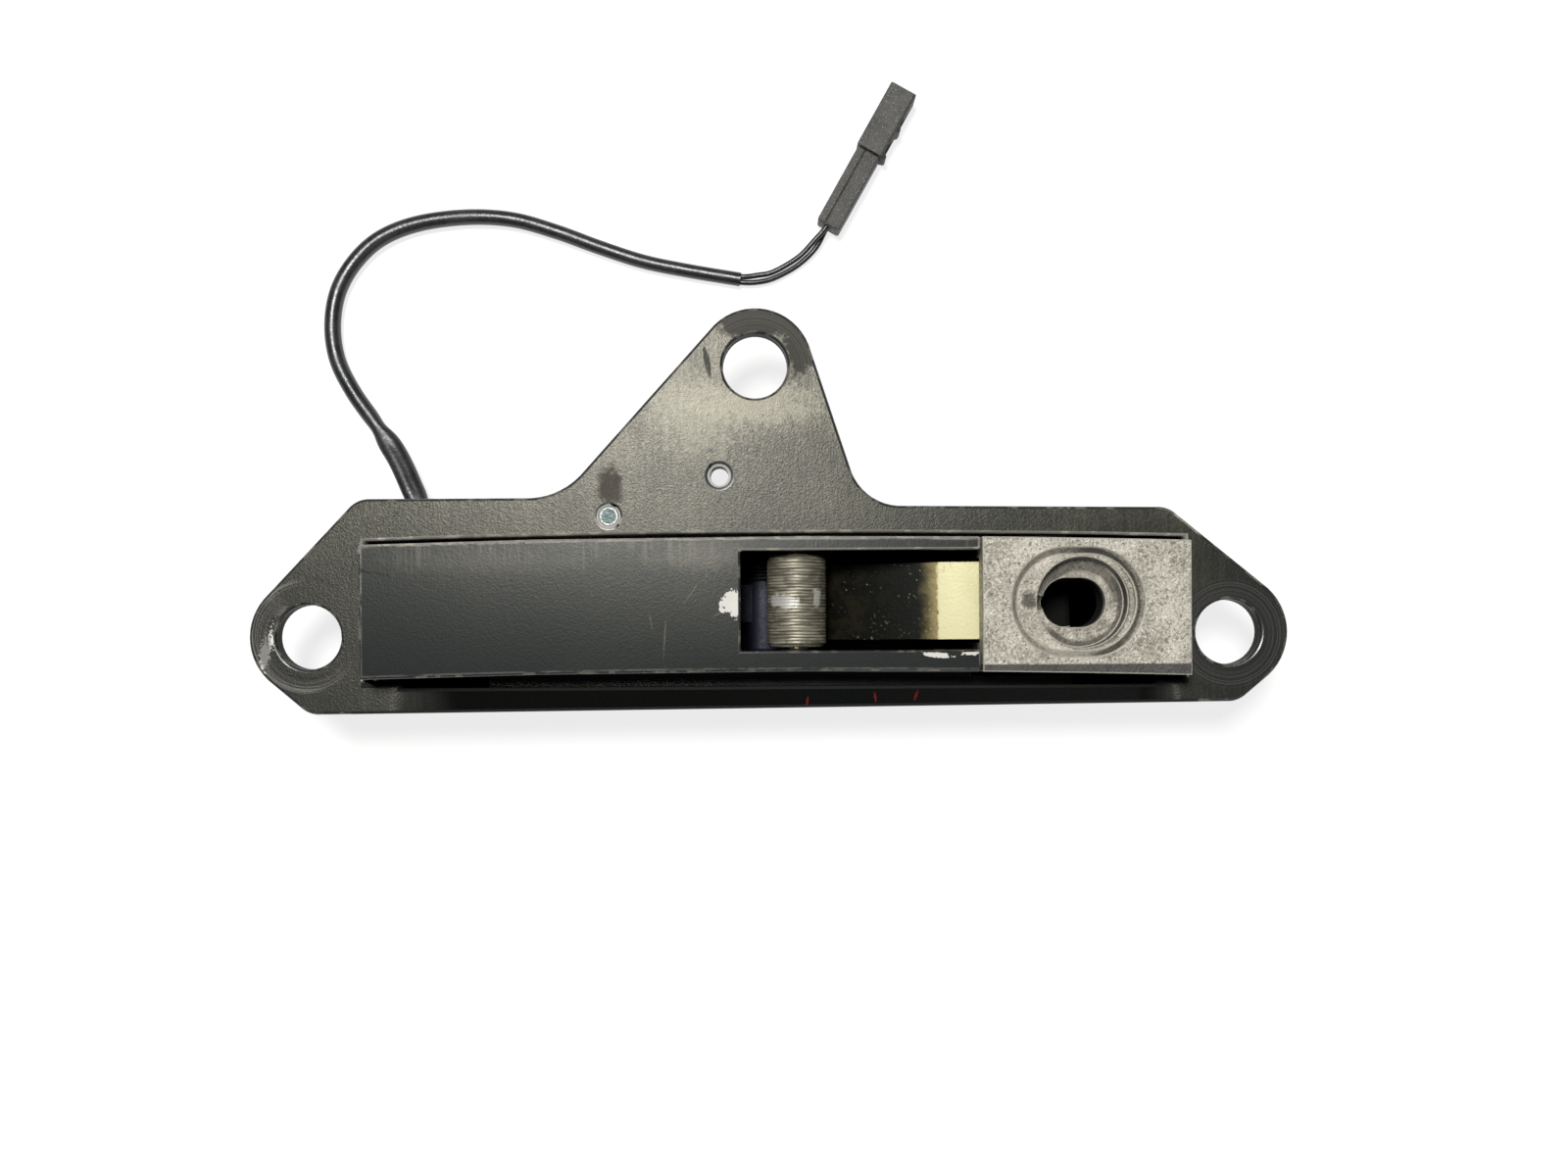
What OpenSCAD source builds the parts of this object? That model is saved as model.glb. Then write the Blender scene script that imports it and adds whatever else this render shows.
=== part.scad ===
// Electric door strike: a coated steel mounting plate with three eyes, a cast housing bar that
// passes up through it, a machined end block, and the fail-safe release mechanism behind.
// Lengths in mm, angles in degrees. The back of the case lies on z = 0 and the plate faces +Z.

/* [Mounting plate] */
// distance between the centres of the two side eyes
eye_span = 185; // [181:1:222]
// outer radius of the side eyes
eye_r = 12; // [10.5:0.1:14.4]
// radius of the three fixing holes
hole_r = 6.5; // [5:0.1:7.8]
// thickness of the plate
plate_t = 4; // [3.4:0.1:4.8]
// height of the top eye's centre above the line of the side eyes
lug_rise = 54.1; // [48:0.1:65]
// distance of the top eye's centre from the plate's middle, towards the left
lug_left = 2.4; // [0:0.1:5]
// height of the left shoulder above the line of the side eyes
left_shoulder = 27.8; // [26:0.1:33]
// height of the right shoulder above the line of the side eyes
right_shoulder = 26.1; // [25.6:0.1:31]
// depth of the bottom edge below the line of the side eyes
bottom_drop = 14.8; // [14.6:0.1:18]

/* [Housing bar] */
// depth of the case behind the plate
case_depth = 20; // [19.6:0.1:26]
// how far the bar stands proud of the plate
bar_rise = 8; // [7.5:0.1:9.6]
// width of the bar across its ends
bar_w = 26.4; // [26:0.1:28]
// sideways bow of the bar over its length
bar_bow = 1.2; // [0.2:0.1:1.6]
// gap all round between the bar and the plate
slot_gap = 1.3; // [0.8:0.1:1.5]
// length of the window for the keeper
window_l = 46.9; // [46:0.1:48]

/* [Keeper and ejector] */
// diameter of the keeper's roller
roller_d = 11.9; // [9.9:0.1:12.4]
// length of the keeper's roller
roller_l = 18.2; // [15:0.1:18.4]
// angle through which the keeper swings open
keeper_swing = 16; // [14:0.5:16.5]
// width of the ejector flap
flap_w = 15.5; // [12:0.1:16.4]
// thickness of the ejector flap's strip
flap_t = 1.2; // [1:0.1:1.5]

/* [Solenoid] */
// travel of the push rod
stroke = 3; // [2.5:0.1:3.2]
// outer diameter of the coil
coil_d = 17.8; // [14.8:0.1:18.4]
// diameter of the armature
armature_d = 8; // [6.6:0.1:9]
// length of the solenoid's frame
frame_l = 32; // [28:0.5:33]

/* [Cable] */
// diameter of the cable sleeve
sleeve_d = 3.5; // [2.8:0.1:4]
// diameter of each thin wire
wire_d = 1.2; // [0.9:0.1:1.4]
// width of the connector's slim rear half
plug_w = 5.3; // [4.8:0.1:6]

/* [Hidden] */
$fn = 64;
// overshoot of every cutting solid past the face it leaves
over = 1;
// radial clearance of a turning fit and of a still one
run_fit = 0.05;
still_fit = 0.02;
// free gap between a fixed piece and the wall beside it
wall_fit = 0.2;
// bite of a straight edge into the arc it runs into
graze = 0.02;

// heights of the stack
cover_t = 1.5;
z_plate = case_depth;
z_face = z_plate + plate_t;
z_top = z_face + bar_rise;

// plan of the plate about the line of the side eyes
left_eye = [-eye_span / 2, 0];
right_eye = [eye_span / 2, 0];
top_eye = [-lug_left, lug_rise];
top_eye_r = eye_r - 0.3;

// outward directions of the plate's edges
dir_left_up = 136.6;
dir_lug_left = 138;
dir_lug_right = 18.2;
dir_right_up = 50.7;
dir_right_low = -50;
dir_left_low = -130;
dir_bottom = -89.5;
dir_right_shoulder = 89.4;
fillet_left = 15;
fillet_right = 10.7;
corner_r = 5.5;
// the plate's lowest point lies on the round of its lower left corner, and everything is
// moved so that the plate's middle stands over the origin
low_round = crossing([dir_bottom, bottom_drop - corner_r],
  touch(left_eye, eye_r - corner_r, dir_left_low));
y_mid = (lug_rise + top_eye_r + low_round[1] - corner_r) / 2;

// open tapped hole and the thread-locked screw beside the lug
tap = [-9.7, 32];
tap_r = 1.8;
tap_rim_r = 2.4;
tap_rim_h = 0.6;
lock = [-32, 24];
lock_r = 1.8;
lock_rim_r = 2.25;
lock_head_r = 3.3;
lock_head_h = 2.5;
ear_r = 4.4;
ear_t = 8;

// bar in plan: its ends, its lower edge at the ends, the two parts it is made of
bar_x0 = 12.4 - eye_span / 2;
bar_x1 = eye_span / 2 - 9.9;
bar_y0 = -8.4;
bar_xm = (bar_x0 + bar_x1) / 2;
bar_half = (bar_x1 - bar_x0) / 2;
bow_r = (bar_half * bar_half + bar_bow * bar_bow) / (2 * bar_bow);
window_x0 = -5.5;
window_x1 = window_x0 + window_l;
window_y0 = -3.2;
window_y1 = 16.4;
block_gap = 0.4;
block_x0 = window_x1 + block_gap;
relief = 1.1;
relief_end = 6;

// case behind the plate
case_x0 = bar_x0 - 2.4;
case_x1 = bar_x1 + 1.4;
case_y0 = 0.6 - bottom_drop;
case_y1 = 24.7;

// middle line of the mechanism, and the bays cut for it
yc = 6.6;
bay_top = z_face + 2.4;
coil_bay_half = 10.6;
tail_bay_half = 4.6;
keeper_bay_half = 11.3;
lip = 3;
keeper_bay_x0 = -6.8;
pocket_z = 8;

// keeper: a fork on a pin, with a tail that the pawl blocks
keeper_p = [-1, z_plate - 12];
roller_p = [5.7, z_face - 0.5];
pin_r = 1.5;
keeper_pin_half = 14;
hub_r = 3.6;
cheek_r = 3.4;
cheek_t = 1.5;
washer_t = 0.35;
washer_gap = 0.05;
roller_half = roller_l / 2;
cheek_half = roller_half + washer_t + 3 * washer_gap;
tail_dir = 165;
tail_l = 15.3;
tail_half = 2;
finger_l = 17;
finger_half = 0.9;
tail_w = 8;

// pawl: stands on its own pin and leans by the same angle each side of upright
pawl_p = [-21.5, z_plate - 16];
rod_rise = 11;
lean = atan(stroke / 2 / rod_rise);
pawl_hub_r = 2.2;
pawl_half = 1.5;
pawl_l = 13;
pawl_w = 6;
nose_x = 4.8;
nose_z0 = 5.05;
nose_z1 = 6.5;
pawl_pin_r = 1;
pawl_pin_half = 8.6;

// solenoid along X, behind the middle of the bar's left part
rod_z = pawl_p[1] + rod_rise;
rod_r = 1.5;
rod_gap = 0.09;
tip_x = pawl_p[0] - stroke / 2 - pawl_half / cos(lean) - rod_gap;
frame_x1 = -34;
frame_x0 = frame_x1 - frame_l;
frame_t = 2;
frame_half = 9.5;
armature_r = armature_d / 2;
bobbin_r = armature_r + 0.1;
bobbin_t = 0.9;
flange_t = 1;
flange_r = 9.3;
coil_r = coil_d / 2;
tape_t = 0.15;
core_l = 5.5;
core_gap = 0.5;
armature_x1 = frame_x1 - frame_t - core_l - core_gap - stroke;
spring_l = 7;
head_t = 1.5;
head_r = armature_r + 2.2;
clip_t = 0.8;
clip_r = 3;
tag_ledge_h = 1.9;

// ejector flap: a bent strip curled round a pin under the end block's edge
flap_p = [46.5 + window_x1 - 41.4, z_face - 0.5];
flap_pin_r = 1.25;
flap_pin_half = 12;
knuckle_r = 2.5;
flap_top = flap_p[1] + knuckle_r;
flap_bend_x = window_x1 - 7.8;
flap_slope = 27.2;
flap_slope_l = 27;
flap_yc = 6.55;
notch_roof = z_top - 4.5;
notch_l = 8.7;
spring_slot = 5.8;

// end block and its oval socket
block_bottom = pocket_z;
socket = [60.5, 6];
mouth_r = 10.7;
mouth_floor_r = 9.6;
mouth_half = 2.3;
mouth_depth = 2;
sink_r = 8.9;
sink_depth = 5;
sink_shift = 1.2;
bore_r = 4.9;
bore_half = 1.4;
bore_floor = 4;
gouge_r = 3;

// screws
small_screw_r = 1;
small_head_r = 1.9;
small_head_h = 1.6;
small_head_z = 13;
cover_screw_r = 1.25;
cover_head_r = 2.2;
cover_screw_l = 6.4;
block_screw_r = 2;
block_head_r = 3.5;
block_head_h = 3.2;
block_head_z = 1.8;
block_thread = 6;
plate_screw_at = [
  [-58, 22.2],
  [62, 22.2],
  [-58, -12],
  [62, -12],
];
cover_screw_at = [
  [case_x0 + 3, 21.4],
  [case_x0 + 3, -11.4],
  [-2, 21.8],
  [-2, -11.4],
  [case_x1 - 4.4, 21.9],
  [case_x1 - 4.4, -11.6],
];
block_screw_at = [
  [bar_x1 - 7, -1.5],
  [bar_x1 - 7, 13],
];
solenoid_screw_x = [frame_x0 + 8, frame_x1 - 8];
solenoid_screw_l = 4;

// cable exit through the upper wall, and the cable's own route on the table
exit = [-74.3, case_y1, 5.2];
grommet_r = 3.1;
grommet_flange_r = 4;
grommet_flange_t = 1.2;
grommet_l = 6.5;
socket_l = 4.2;
lead_r = 0.6;
lead_half = 1;
sleeve_r = sleeve_d / 2;
wire_r = wire_d / 2;
lie = sleeve_r + 0.05;
sleeve_route = [
  [exit[0], case_y1 + grommet_flange_t - socket_l, exit[2]],
  [exit[0], case_y1 + grommet_flange_t, exit[2]],
  [exit[0], case_y1 + 2 * grommet_flange_t, exit[2]],
  [-76.3, 31.5, 4.7],
  [-80, 39, 3.3],
  [-85.1, 46.5, lie + 0.4],
  [-90, 53.5, lie + 0.1],
  [-93.4, 60.5, lie],
  [-94.4, 68, lie],
  [-93.1, 75.5, lie],
  [-89.3, 82, lie],
  [-83.6, 87, lie],
  [-75.5, 90.1, lie],
  [-65, 91.4, lie],
  [-55, 90.8, lie],
  [-45.5, 88.1, lie],
  [-36, 84.6, lie],
  [-26.5, 81.5, lie],
  [-16.5, 79.4, lie],
  [-5.5, 77.5, lie],
];
plug_dir = 60.5;
plug_at = [13.5, 88.2, 2.8];
plug_l = 18.2;
plug_h = 4.8;
plug_nose_l = 8;
plug_nose_w = 3.6;
plug_nose_h = 4;
seam_y = 0.9;
seam_w = 0.3;
shroud_l = 15.3;
shroud_w = plug_w + 0.8;
shroud_h = 5.6;
shroud_fit = 0.1;
latch_h = 2.8;
contact_half = 1.27;
wire_half = 0.72;
wire_left = 0.3;
entry_gap = 0.25;
plug_entry = [plug_at[0] - wire_left * sin(plug_dir) - entry_gap * cos(plug_dir),
  plug_at[1] + wire_left * cos(plug_dir) - entry_gap * sin(plug_dir)];
wire_a_route = [
  [-5.2, 78, 1.9],
  [-1.8, 78.3, 1.9],
  [1.8, 79, 2.1],
  [7.2, 82, 2.7],
  [10.8, 85.6, 3.2],
  [plug_entry[0], plug_entry[1], plug_at[2] + wire_half],
];
wire_b_route = [
  [-5.5, 77, 1.2],
  [-1.8, 77, 1.2],
  [1.9, 77.9, 1.1],
  [6.9, 80.6, 1],
  [10.8, 84.1, 1.5],
  [plug_entry[0], plug_entry[1], plug_at[2] - wire_half],
];

// ---- small helpers ----

function unit(v) = v / norm(v);
function heading(a) = [cos(a), sin(a)];
// line grazing a circle on the side that faces a: [direction, distance from the origin]
function touch(c, r, a) = [a, c * heading(a) + r - graze];
function touch_point(c, r, a) = c + (r - graze) * heading(a);
// crossing of two such lines
function crossing(p, q) =
  let (m = heading(p[0]), n = heading(q[0]), d = m[0] * n[1] - m[1] * n[0])
  [(p[1] * n[1] - q[1] * m[1]) / d, (m[0] * q[1] - n[0] * p[1]) / d];

// smooth curve through a list of points, with k steps between neighbours
function curve_at(p, i, t) =
  let (n = len(p) - 1, a = p[max(i - 1, 0)], b = p[i], c = p[min(i + 1, n)], d = p[min(i + 2, n)])
  (2 * b + t * (c - a) + t * t * (2 * a - 5 * b + 4 * c - d)
    + t * t * t * (3 * b - a - 3 * c + d)) / 2;
function curve(p, k) = concat(
  [for (i = [0:len(p) - 2]) for (j = [0:k - 1]) curve_at(p, i, j / k)],
  [p[len(p) - 1]]);

// tube swept along a list of points; ref is never parallel to the path
module tube(path, r, sides = 8, ref = [0, 0, 1]) {
  n = len(path);
  rings = [for (i = [0:n - 1])
    let (t = unit(path[min(i + 1, n - 1)] - path[max(i - 1, 0)]))
    let (s = unit(cross(t, ref)), u = cross(s, t))
    for (k = [0:sides - 1]) path[i] + r * (cos(360 * k / sides) * s + sin(360 * k / sides) * u)];
  walls = [for (i = [0:n - 2]) for (k = [0:sides - 1])
    let (a = i * sides + k, b = i * sides + (k + 1) % sides)
    each [[a, a + sides, b + sides], [a, b + sides, b]]];
  first = [for (k = [0:sides - 1]) k];
  last = [for (k = [0:sides - 1]) n * sides - 1 - k];
  polyhedron(rings, concat(walls, [first], [last]));
}

// points of a coil about the Y axis or the X axis, starting at angle a
function coil_y(c, r, y0, y1, turns, a) = [for (i = [0:16 * turns])
  let (w = a + 22.5 * i)
  [c[0] + r * cos(w), y0 + (y1 - y0) * i / (16 * turns), c[1] + r * sin(w)]];
function coil_x(c, r, x0, x1, turns) = [for (i = [0:16 * turns])
  let (w = 22.5 * i)
  [x0 + (x1 - x0) * i / (16 * turns), c[0] + r * cos(w), c[1] + r * sin(w)]];

// moves the plan of the eyes to the part's own origin
module placed() {
  translate([0, -y_mid, 0])
    children();
}

// plan shape in X and Z drawn as X and Y, w wide along Y about y
module across(y, w) {
  translate([0, y + w / 2, 0])
    rotate([90, 0, 0])
      linear_extrude(w)
        children();
}

// round bar along Y between y0 and y1
module pin_y(p, r, y0, y1) {
  translate([p[0], y1, p[1]])
    rotate([90, 0, 0])
      cylinder(r = r, h = y1 - y0);
}

// round bar along X between x0 and x1 on the solenoid's axis
module pin_x(r, x0, x1) {
  translate([x0, yc, rod_z])
    rotate([0, 90, 0])
      cylinder(r = r, h = x1 - x0);
}

// block between two corners
module box(a, b) {
  translate(a)
    cube(b - a);
}

// countersunk screw with its head on z = 0, pointing up
module sunk_screw(r, head_r, l) {
  cylinder(r1 = head_r, r2 = r, h = head_r - r);
  cylinder(r = r, h = l);
}

// screw with a flat head below z = 0 and its shank above
module flat_screw(r, head_r, head_h, l) {
  translate([0, 0, -head_h])
    difference() {
      cylinder(r = head_r, h = head_h);
      translate([0, 0, -over])
        cylinder(r = head_r / 2, h = over + head_h / 2, $fn = 6);
    }
  cylinder(r = r, h = l);
}

// piece between a corner and the arc that rounds it; the edges leave along a and b,
// with b anticlockwise of a
module corner(p, a, b, r) {
  mid = unit(heading(a) + heading(b));
  half = acos(mid * heading(a));
  c = p + mid * r / sin(half);
  difference() {
    polygon([
      p - 0.3 * mid,
      p + heading(a) * r / tan(half),
      c,
      p + heading(b) * r / tan(half),
    ]);
    translate(c)
      circle(r = r + graze, $fn = 96);
  }
}

// ---- plan shapes ----

module plate_outline() {
  left_up = touch(left_eye, eye_r, dir_left_up);
  left_low = touch(left_eye, eye_r, dir_left_low);
  right_up = touch(right_eye, eye_r, dir_right_up);
  right_low = touch(right_eye, eye_r, dir_right_low);
  lug_l = touch(top_eye, top_eye_r, dir_lug_left);
  lug_r = touch(top_eye, top_eye_r, dir_lug_right);
  shoulder_l = [90, left_shoulder];
  shoulder_r = [dir_right_shoulder, right_shoulder];
  bottom = [dir_bottom, bottom_drop];
  a = crossing(left_up, shoulder_l);
  b = crossing(shoulder_l, lug_l);
  c = crossing(lug_r, shoulder_r);
  d = crossing(shoulder_r, right_up);
  e = crossing(right_low, bottom);
  f = crossing(bottom, left_low);
  difference() {
    union() {
      polygon([
        touch_point(left_eye, eye_r, dir_left_up),
        touch_point(left_eye, eye_r, dir_left_low),
        f,
        e,
        touch_point(right_eye, eye_r, dir_right_low),
        touch_point(right_eye, eye_r, dir_right_up),
        d,
        c,
        touch_point(top_eye, top_eye_r, dir_lug_right),
        touch_point(top_eye, top_eye_r, dir_lug_left),
        b,
        a,
      ]);
      translate(left_eye)
        circle(r = eye_r, $fn = 96);
      translate(right_eye)
        circle(r = eye_r, $fn = 96);
      translate(top_eye)
        circle(r = top_eye_r, $fn = 96);
      corner(b, dir_lug_left - 90, 180, fillet_left);
      corner(c, dir_right_shoulder - 90, dir_lug_right + 90, fillet_right);
    }
    corner(a, dir_left_up + 90, 0, corner_r);
    corner(d, dir_right_shoulder + 90, dir_right_up - 90, corner_r);
    corner(e, dir_right_low + 90, dir_bottom - 90, corner_r);
    corner(f, dir_bottom + 90, dir_left_low - 90, corner_r);
  }
}

// bowed bar between two stations, grown by g on every side
module bar_outline(x0, x1, g = 0) {
  difference() {
    intersection() {
      translate([x0 - g, bar_y0 - g])
        square([x1 - x0 + 2 * g, bar_w + bar_bow + 2 * g]);
      translate([bar_xm, bar_y0 + bar_w + bar_bow - bow_r])
        circle(r = bow_r + g, $fn = 720);
    }
    translate([bar_xm, bar_y0 + bar_bow - bow_r])
      circle(r = bow_r - g, $fn = 720);
  }
}

module case_outline() {
  intersection() {
    translate([case_x0, case_y0])
      square([case_x1 - case_x0, case_y1 - case_y0]);
    plate_outline();
  }
}

// oval made of two circles and the square between them
module oval(r, half) {
  translate([-half, 0])
    circle(r = r);
  translate([half, 0])
    circle(r = r);
  translate([-half, -r])
    square([2 * half, 2 * r]);
}

// ---- plate, housing and block ----

module mounting_plate() {
  color([0.3, 0.3, 0.28])
    placed()
      difference() {
        translate([0, 0, z_plate])
          linear_extrude(plate_t)
            plate_outline();
        translate([0, 0, z_plate - over])
          linear_extrude(plate_t + 2 * over)
            bar_outline(bar_x0, bar_x1, slot_gap);
        // shallow relief along the lower side of the slot
        box([bar_x0 + relief_end, bar_y0 - slot_gap + 0.4 - relief, z_plate - over],
          [bar_x1 - relief_end + 1.6, bar_y0 + 1, z_face + over]);
        for (p = [left_eye, right_eye, top_eye])
          translate([p[0], p[1], z_plate - over])
            cylinder(r = hole_r, h = plate_t + 2 * over);
        translate([tap[0], tap[1], z_plate - over])
          cylinder(r = tap_r, h = plate_t + 2 * over);
        translate([tap[0], tap[1], z_face - tap_rim_h])
          cylinder(r1 = tap_r, r2 = tap_rim_r + (tap_rim_r - tap_r) / tap_rim_h * over,
            h = tap_rim_h + over);
        translate([lock[0], lock[1], z_plate - over])
          cylinder(r = lock_r, h = plate_t + 2 * over);
        translate([lock[0], lock[1], z_face - 0.45])
          cylinder(r1 = lock_r, r2 = lock_rim_r + over, h = 0.45 + over);
        for (p = plate_screw_at)
          translate([p[0], p[1], z_plate - over])
            cylinder(r = small_screw_r, h = plate_t - 1 + over);
      }
}

module housing() {
  color([0.22, 0.22, 0.21])
    placed() {
      difference() {
        union() {
          translate([0, 0, cover_t])
            linear_extrude(z_plate - cover_t)
              case_outline();
          translate([lock[0], lock[1], z_plate - ear_t])
            cylinder(r = ear_r, h = ear_t);
          translate([0, 0, z_plate - over])
            linear_extrude(z_top - z_plate + over)
              bar_outline(bar_x0, window_x1);
        }
        // bay of the solenoid
        box([bar_x0 + 2.1, yc - coil_bay_half, cover_t - over],
          [frame_x1 + 1, yc + coil_bay_half, bay_top]);
        // bay of the rod, the pawl and the keeper's tail
        box([frame_x1, yc - tail_bay_half, cover_t - over],
          [keeper_bay_x0 + over, yc + tail_bay_half, bay_top]);
        // bay of the keeper, roofed by a lip round the window
        box([keeper_bay_x0, yc - keeper_bay_half, cover_t - over],
          [window_x1 + over, yc + keeper_bay_half, z_top - lip]);
        box([window_x0, window_y0, cover_t],
          [window_x1 + over, window_y1, z_top + over]);
        // pocket of the end block
        box([window_x1, bar_y0 - wall_fit, pocket_z],
          [bar_x1 + wall_fit, bar_y0 + bar_w + bar_bow + wall_fit, z_top + over]);
        pin_y(keeper_p, pin_r + still_fit, yc - keeper_pin_half, case_y1 + over);
        pin_y(pawl_p, pawl_pin_r + still_fit, yc - pawl_pin_half, case_y1 + over);
        // cable exit
        pin_y([exit[0], exit[2]], grommet_r + still_fit, yc, case_y1 + over);
        for (p = plate_screw_at)
          translate([p[0], p[1], cover_t - over]) {
            cylinder(r = small_head_r + 0.1, h = small_head_z - cover_t + over);
            cylinder(r = small_screw_r + 0.1, h = z_plate);
          }
        translate([lock[0], lock[1], cover_t - over])
          cylinder(r = lock_head_r + wall_fit, h = z_plate - ear_t - cover_t + over);
        translate([lock[0], lock[1], cover_t])
          cylinder(r = lock_r + 0.1, h = z_plate);
        for (p = cover_screw_at)
          translate([p[0], p[1], cover_t - over])
            cylinder(r = cover_screw_r, h = cover_screw_l - cover_t + over + 0.5);
        for (p = block_screw_at)
          translate([p[0], p[1], cover_t - over]) {
            cylinder(r = block_head_r + wall_fit,
              h = block_head_z + block_head_h - cover_t + over);
            cylinder(r = block_screw_r + 0.1, h = pocket_z);
          }
        for (x = solenoid_screw_x)
          translate([x, yc, bay_top - over])
            cylinder(r = cover_screw_r, h = solenoid_screw_l + over + 0.3);
      }
      // post for the keeper's rubber stop
      translate([-12, yc, z_plate - 3])
        cylinder(r = 2.6, h = bay_top - z_plate + 3 + over);
    }
}

module rear_cover() {
  color([0.55, 0.56, 0.56])
    placed()
      difference() {
        linear_extrude(cover_t)
          case_outline();
        for (p = cover_screw_at)
          translate([p[0], p[1], 0]) {
            cylinder(r1 = cover_head_r, r2 = cover_screw_r, h = cover_head_r - cover_screw_r);
            translate([0, 0, -over])
              cylinder(r = cover_head_r, h = over);
            cylinder(r = cover_screw_r, h = cover_t + over);
          }
      }
}

module end_block() {
  color([0.66, 0.64, 0.58])
    placed()
      difference() {
        translate([0, 0, block_bottom])
          linear_extrude(z_top - block_bottom)
            bar_outline(block_x0, bar_x1);
        // notch for the flap's knuckle
        box([block_x0 - over, flap_yc - flap_w / 2 - 0.7, block_bottom - over],
          [block_x0 + notch_l, flap_yc + flap_w / 2 + 0.7, notch_roof]);
        pin_y(flap_p, flap_pin_r + still_fit, yc - flap_pin_half, bar_y0 + bar_w + 5);
        // oval funnel of the socket
        translate([socket[0], socket[1], z_top - mouth_depth]) {
          for (s = [-1, 1])
            translate([s * mouth_half, 0, 0])
              cylinder(r1 = mouth_floor_r, r2 = mouth_r, h = mouth_depth + 0.001);
          translate([-mouth_half, 0, 0])
            rotate([90, 0, 90])
              linear_extrude(2 * mouth_half)
                polygon([
                  [-mouth_floor_r, 0],
                  [mouth_floor_r, 0],
                  [mouth_r, mouth_depth + 0.001],
                  [-mouth_r, mouth_depth + 0.001],
                ]);
        }
        translate([socket[0] + sink_shift, socket[1], z_top - sink_depth])
          cylinder(r = sink_r, h = sink_depth - mouth_depth + 0.5);
        translate([socket[0] + 0.2, socket[1], block_bottom + bore_floor])
          linear_extrude(z_top - block_bottom)
            oval(bore_r, bore_half);
        // gouge beside the bore
        translate([socket[0] - bore_half - bore_r - 0.6, socket[1], z_top - sink_depth])
          sphere(r = gouge_r / 2);
        for (p = block_screw_at)
          translate([p[0], p[1], block_bottom - over])
            cylinder(r = block_screw_r, h = block_thread + over + 0.5);
      }
}

module cover_screws() {
  color([0.6, 0.6, 0.62])
    placed()
      for (p = cover_screw_at)
        translate([p[0], p[1], 0])
          sunk_screw(cover_screw_r, cover_head_r, cover_screw_l);
}

module block_screws() {
  color([0.35, 0.35, 0.36])
    placed()
      for (p = block_screw_at)
        translate([p[0], p[1], block_head_z + block_head_h])
          flat_screw(block_screw_r, block_head_r, block_head_h,
            block_bottom + block_thread - block_head_z - block_head_h);
}

module plate_screws() {
  color([0.6, 0.6, 0.62])
    placed()
      for (p = plate_screw_at)
        translate([p[0], p[1], small_head_z])
          flat_screw(small_screw_r, small_head_r, small_head_h, z_face - 1.5 - small_head_z);
}

module locked_screw() {
  color([0.45, 0.6, 0.58])
    placed()
      translate([lock[0], lock[1], z_plate - ear_t])
        flat_screw(lock_r, lock_head_r, lock_head_h, ear_t + plate_t - 0.15);
}

// ---- solenoid ----

module solenoid_frame() {
  color([0.62, 0.63, 0.64])
    placed()
      difference() {
        union() {
          box([frame_x0, yc - frame_half, bay_top - frame_t],
            [frame_x1, yc + frame_half, bay_top]);
          box([frame_x0, yc - frame_half, rod_z - frame_half],
            [frame_x0 + frame_t, yc + frame_half, bay_top]);
          box([frame_x1 - frame_t, yc - frame_half, rod_z - frame_half],
            [frame_x1, yc + frame_half, bay_top]);
        }
        pin_x(armature_r + 0.2, frame_x0 - over, frame_x0 + frame_t + over);
        pin_x(2.5, frame_x1 - frame_t - over, frame_x1 + over);
        for (x = solenoid_screw_x)
          translate([x, yc, bay_top - frame_t - over])
            cylinder(r = cover_screw_r + 0.1, h = frame_t + 2 * over);
      }
}

module solenoid_screws() {
  color([0.6, 0.6, 0.62])
    placed()
      for (x = solenoid_screw_x)
        translate([x, yc, bay_top - 1.2]) {
          cylinder(r = cover_screw_r, h = solenoid_screw_l + 1.2);
        }
}

module coil_bobbin() {
  x0 = frame_x0 + frame_t;
  x1 = frame_x1 - frame_t;
  color([0.2, 0.2, 0.22])
    placed()
      difference() {
        union() {
          pin_x(bobbin_r + bobbin_t, x0, x1);
          intersection() {
            union() {
              pin_x(flange_r, x0, x0 + flange_t);
              pin_x(flange_r, x1 - flange_t, x1);
            }
            box([x0, yc - flange_r, 0], [x1, yc + flange_r, bay_top - frame_t]);
          }
          box([x0, yc - 5, rod_z - flange_r - tag_ledge_h + 0.6],
            [x0 + flange_t, yc + 5, rod_z - flange_r + 2]);
        }
        pin_x(bobbin_r, x0 - over, x1 + over);
      }
}

module coil_winding() {
  color([0.65, 0.35, 0.18])
    placed()
      difference() {
        pin_x(coil_r - tape_t, frame_x0 + frame_t + flange_t, frame_x1 - frame_t - flange_t);
        pin_x(bobbin_r + bobbin_t, frame_x0 + frame_t, frame_x1 - frame_t);
      }
}

module coil_tape() {
  color([0.75, 0.65, 0.25])
    placed()
      difference() {
        pin_x(coil_r, frame_x0 + frame_t + flange_t, frame_x1 - frame_t - flange_t);
        pin_x(coil_r - tape_t, frame_x0 + frame_t, frame_x1 - frame_t);
      }
}

module fixed_core() {
  color([0.6, 0.61, 0.62])
    placed()
      difference() {
        union() {
          pin_x(armature_r, frame_x1 - frame_t - core_l, frame_x1 - frame_t);
          pin_x(2.5, frame_x1 - frame_t - over, frame_x1);
        }
        pin_x(rod_r + run_fit, frame_x1 - frame_t - core_l - over, frame_x1 + over);
      }
}

module solder_tags() {
  z = rod_z - flange_r - tag_ledge_h + 0.6;
  color([0.75, 0.6, 0.3])
    placed()
      for (s = [-1, 1])
        box([frame_x0 + frame_t + 0.25, yc + 3 * s - 0.8, z - 2.2],
          [frame_x0 + frame_t + 0.75, yc + 3 * s + 0.8, z]);
}

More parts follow.
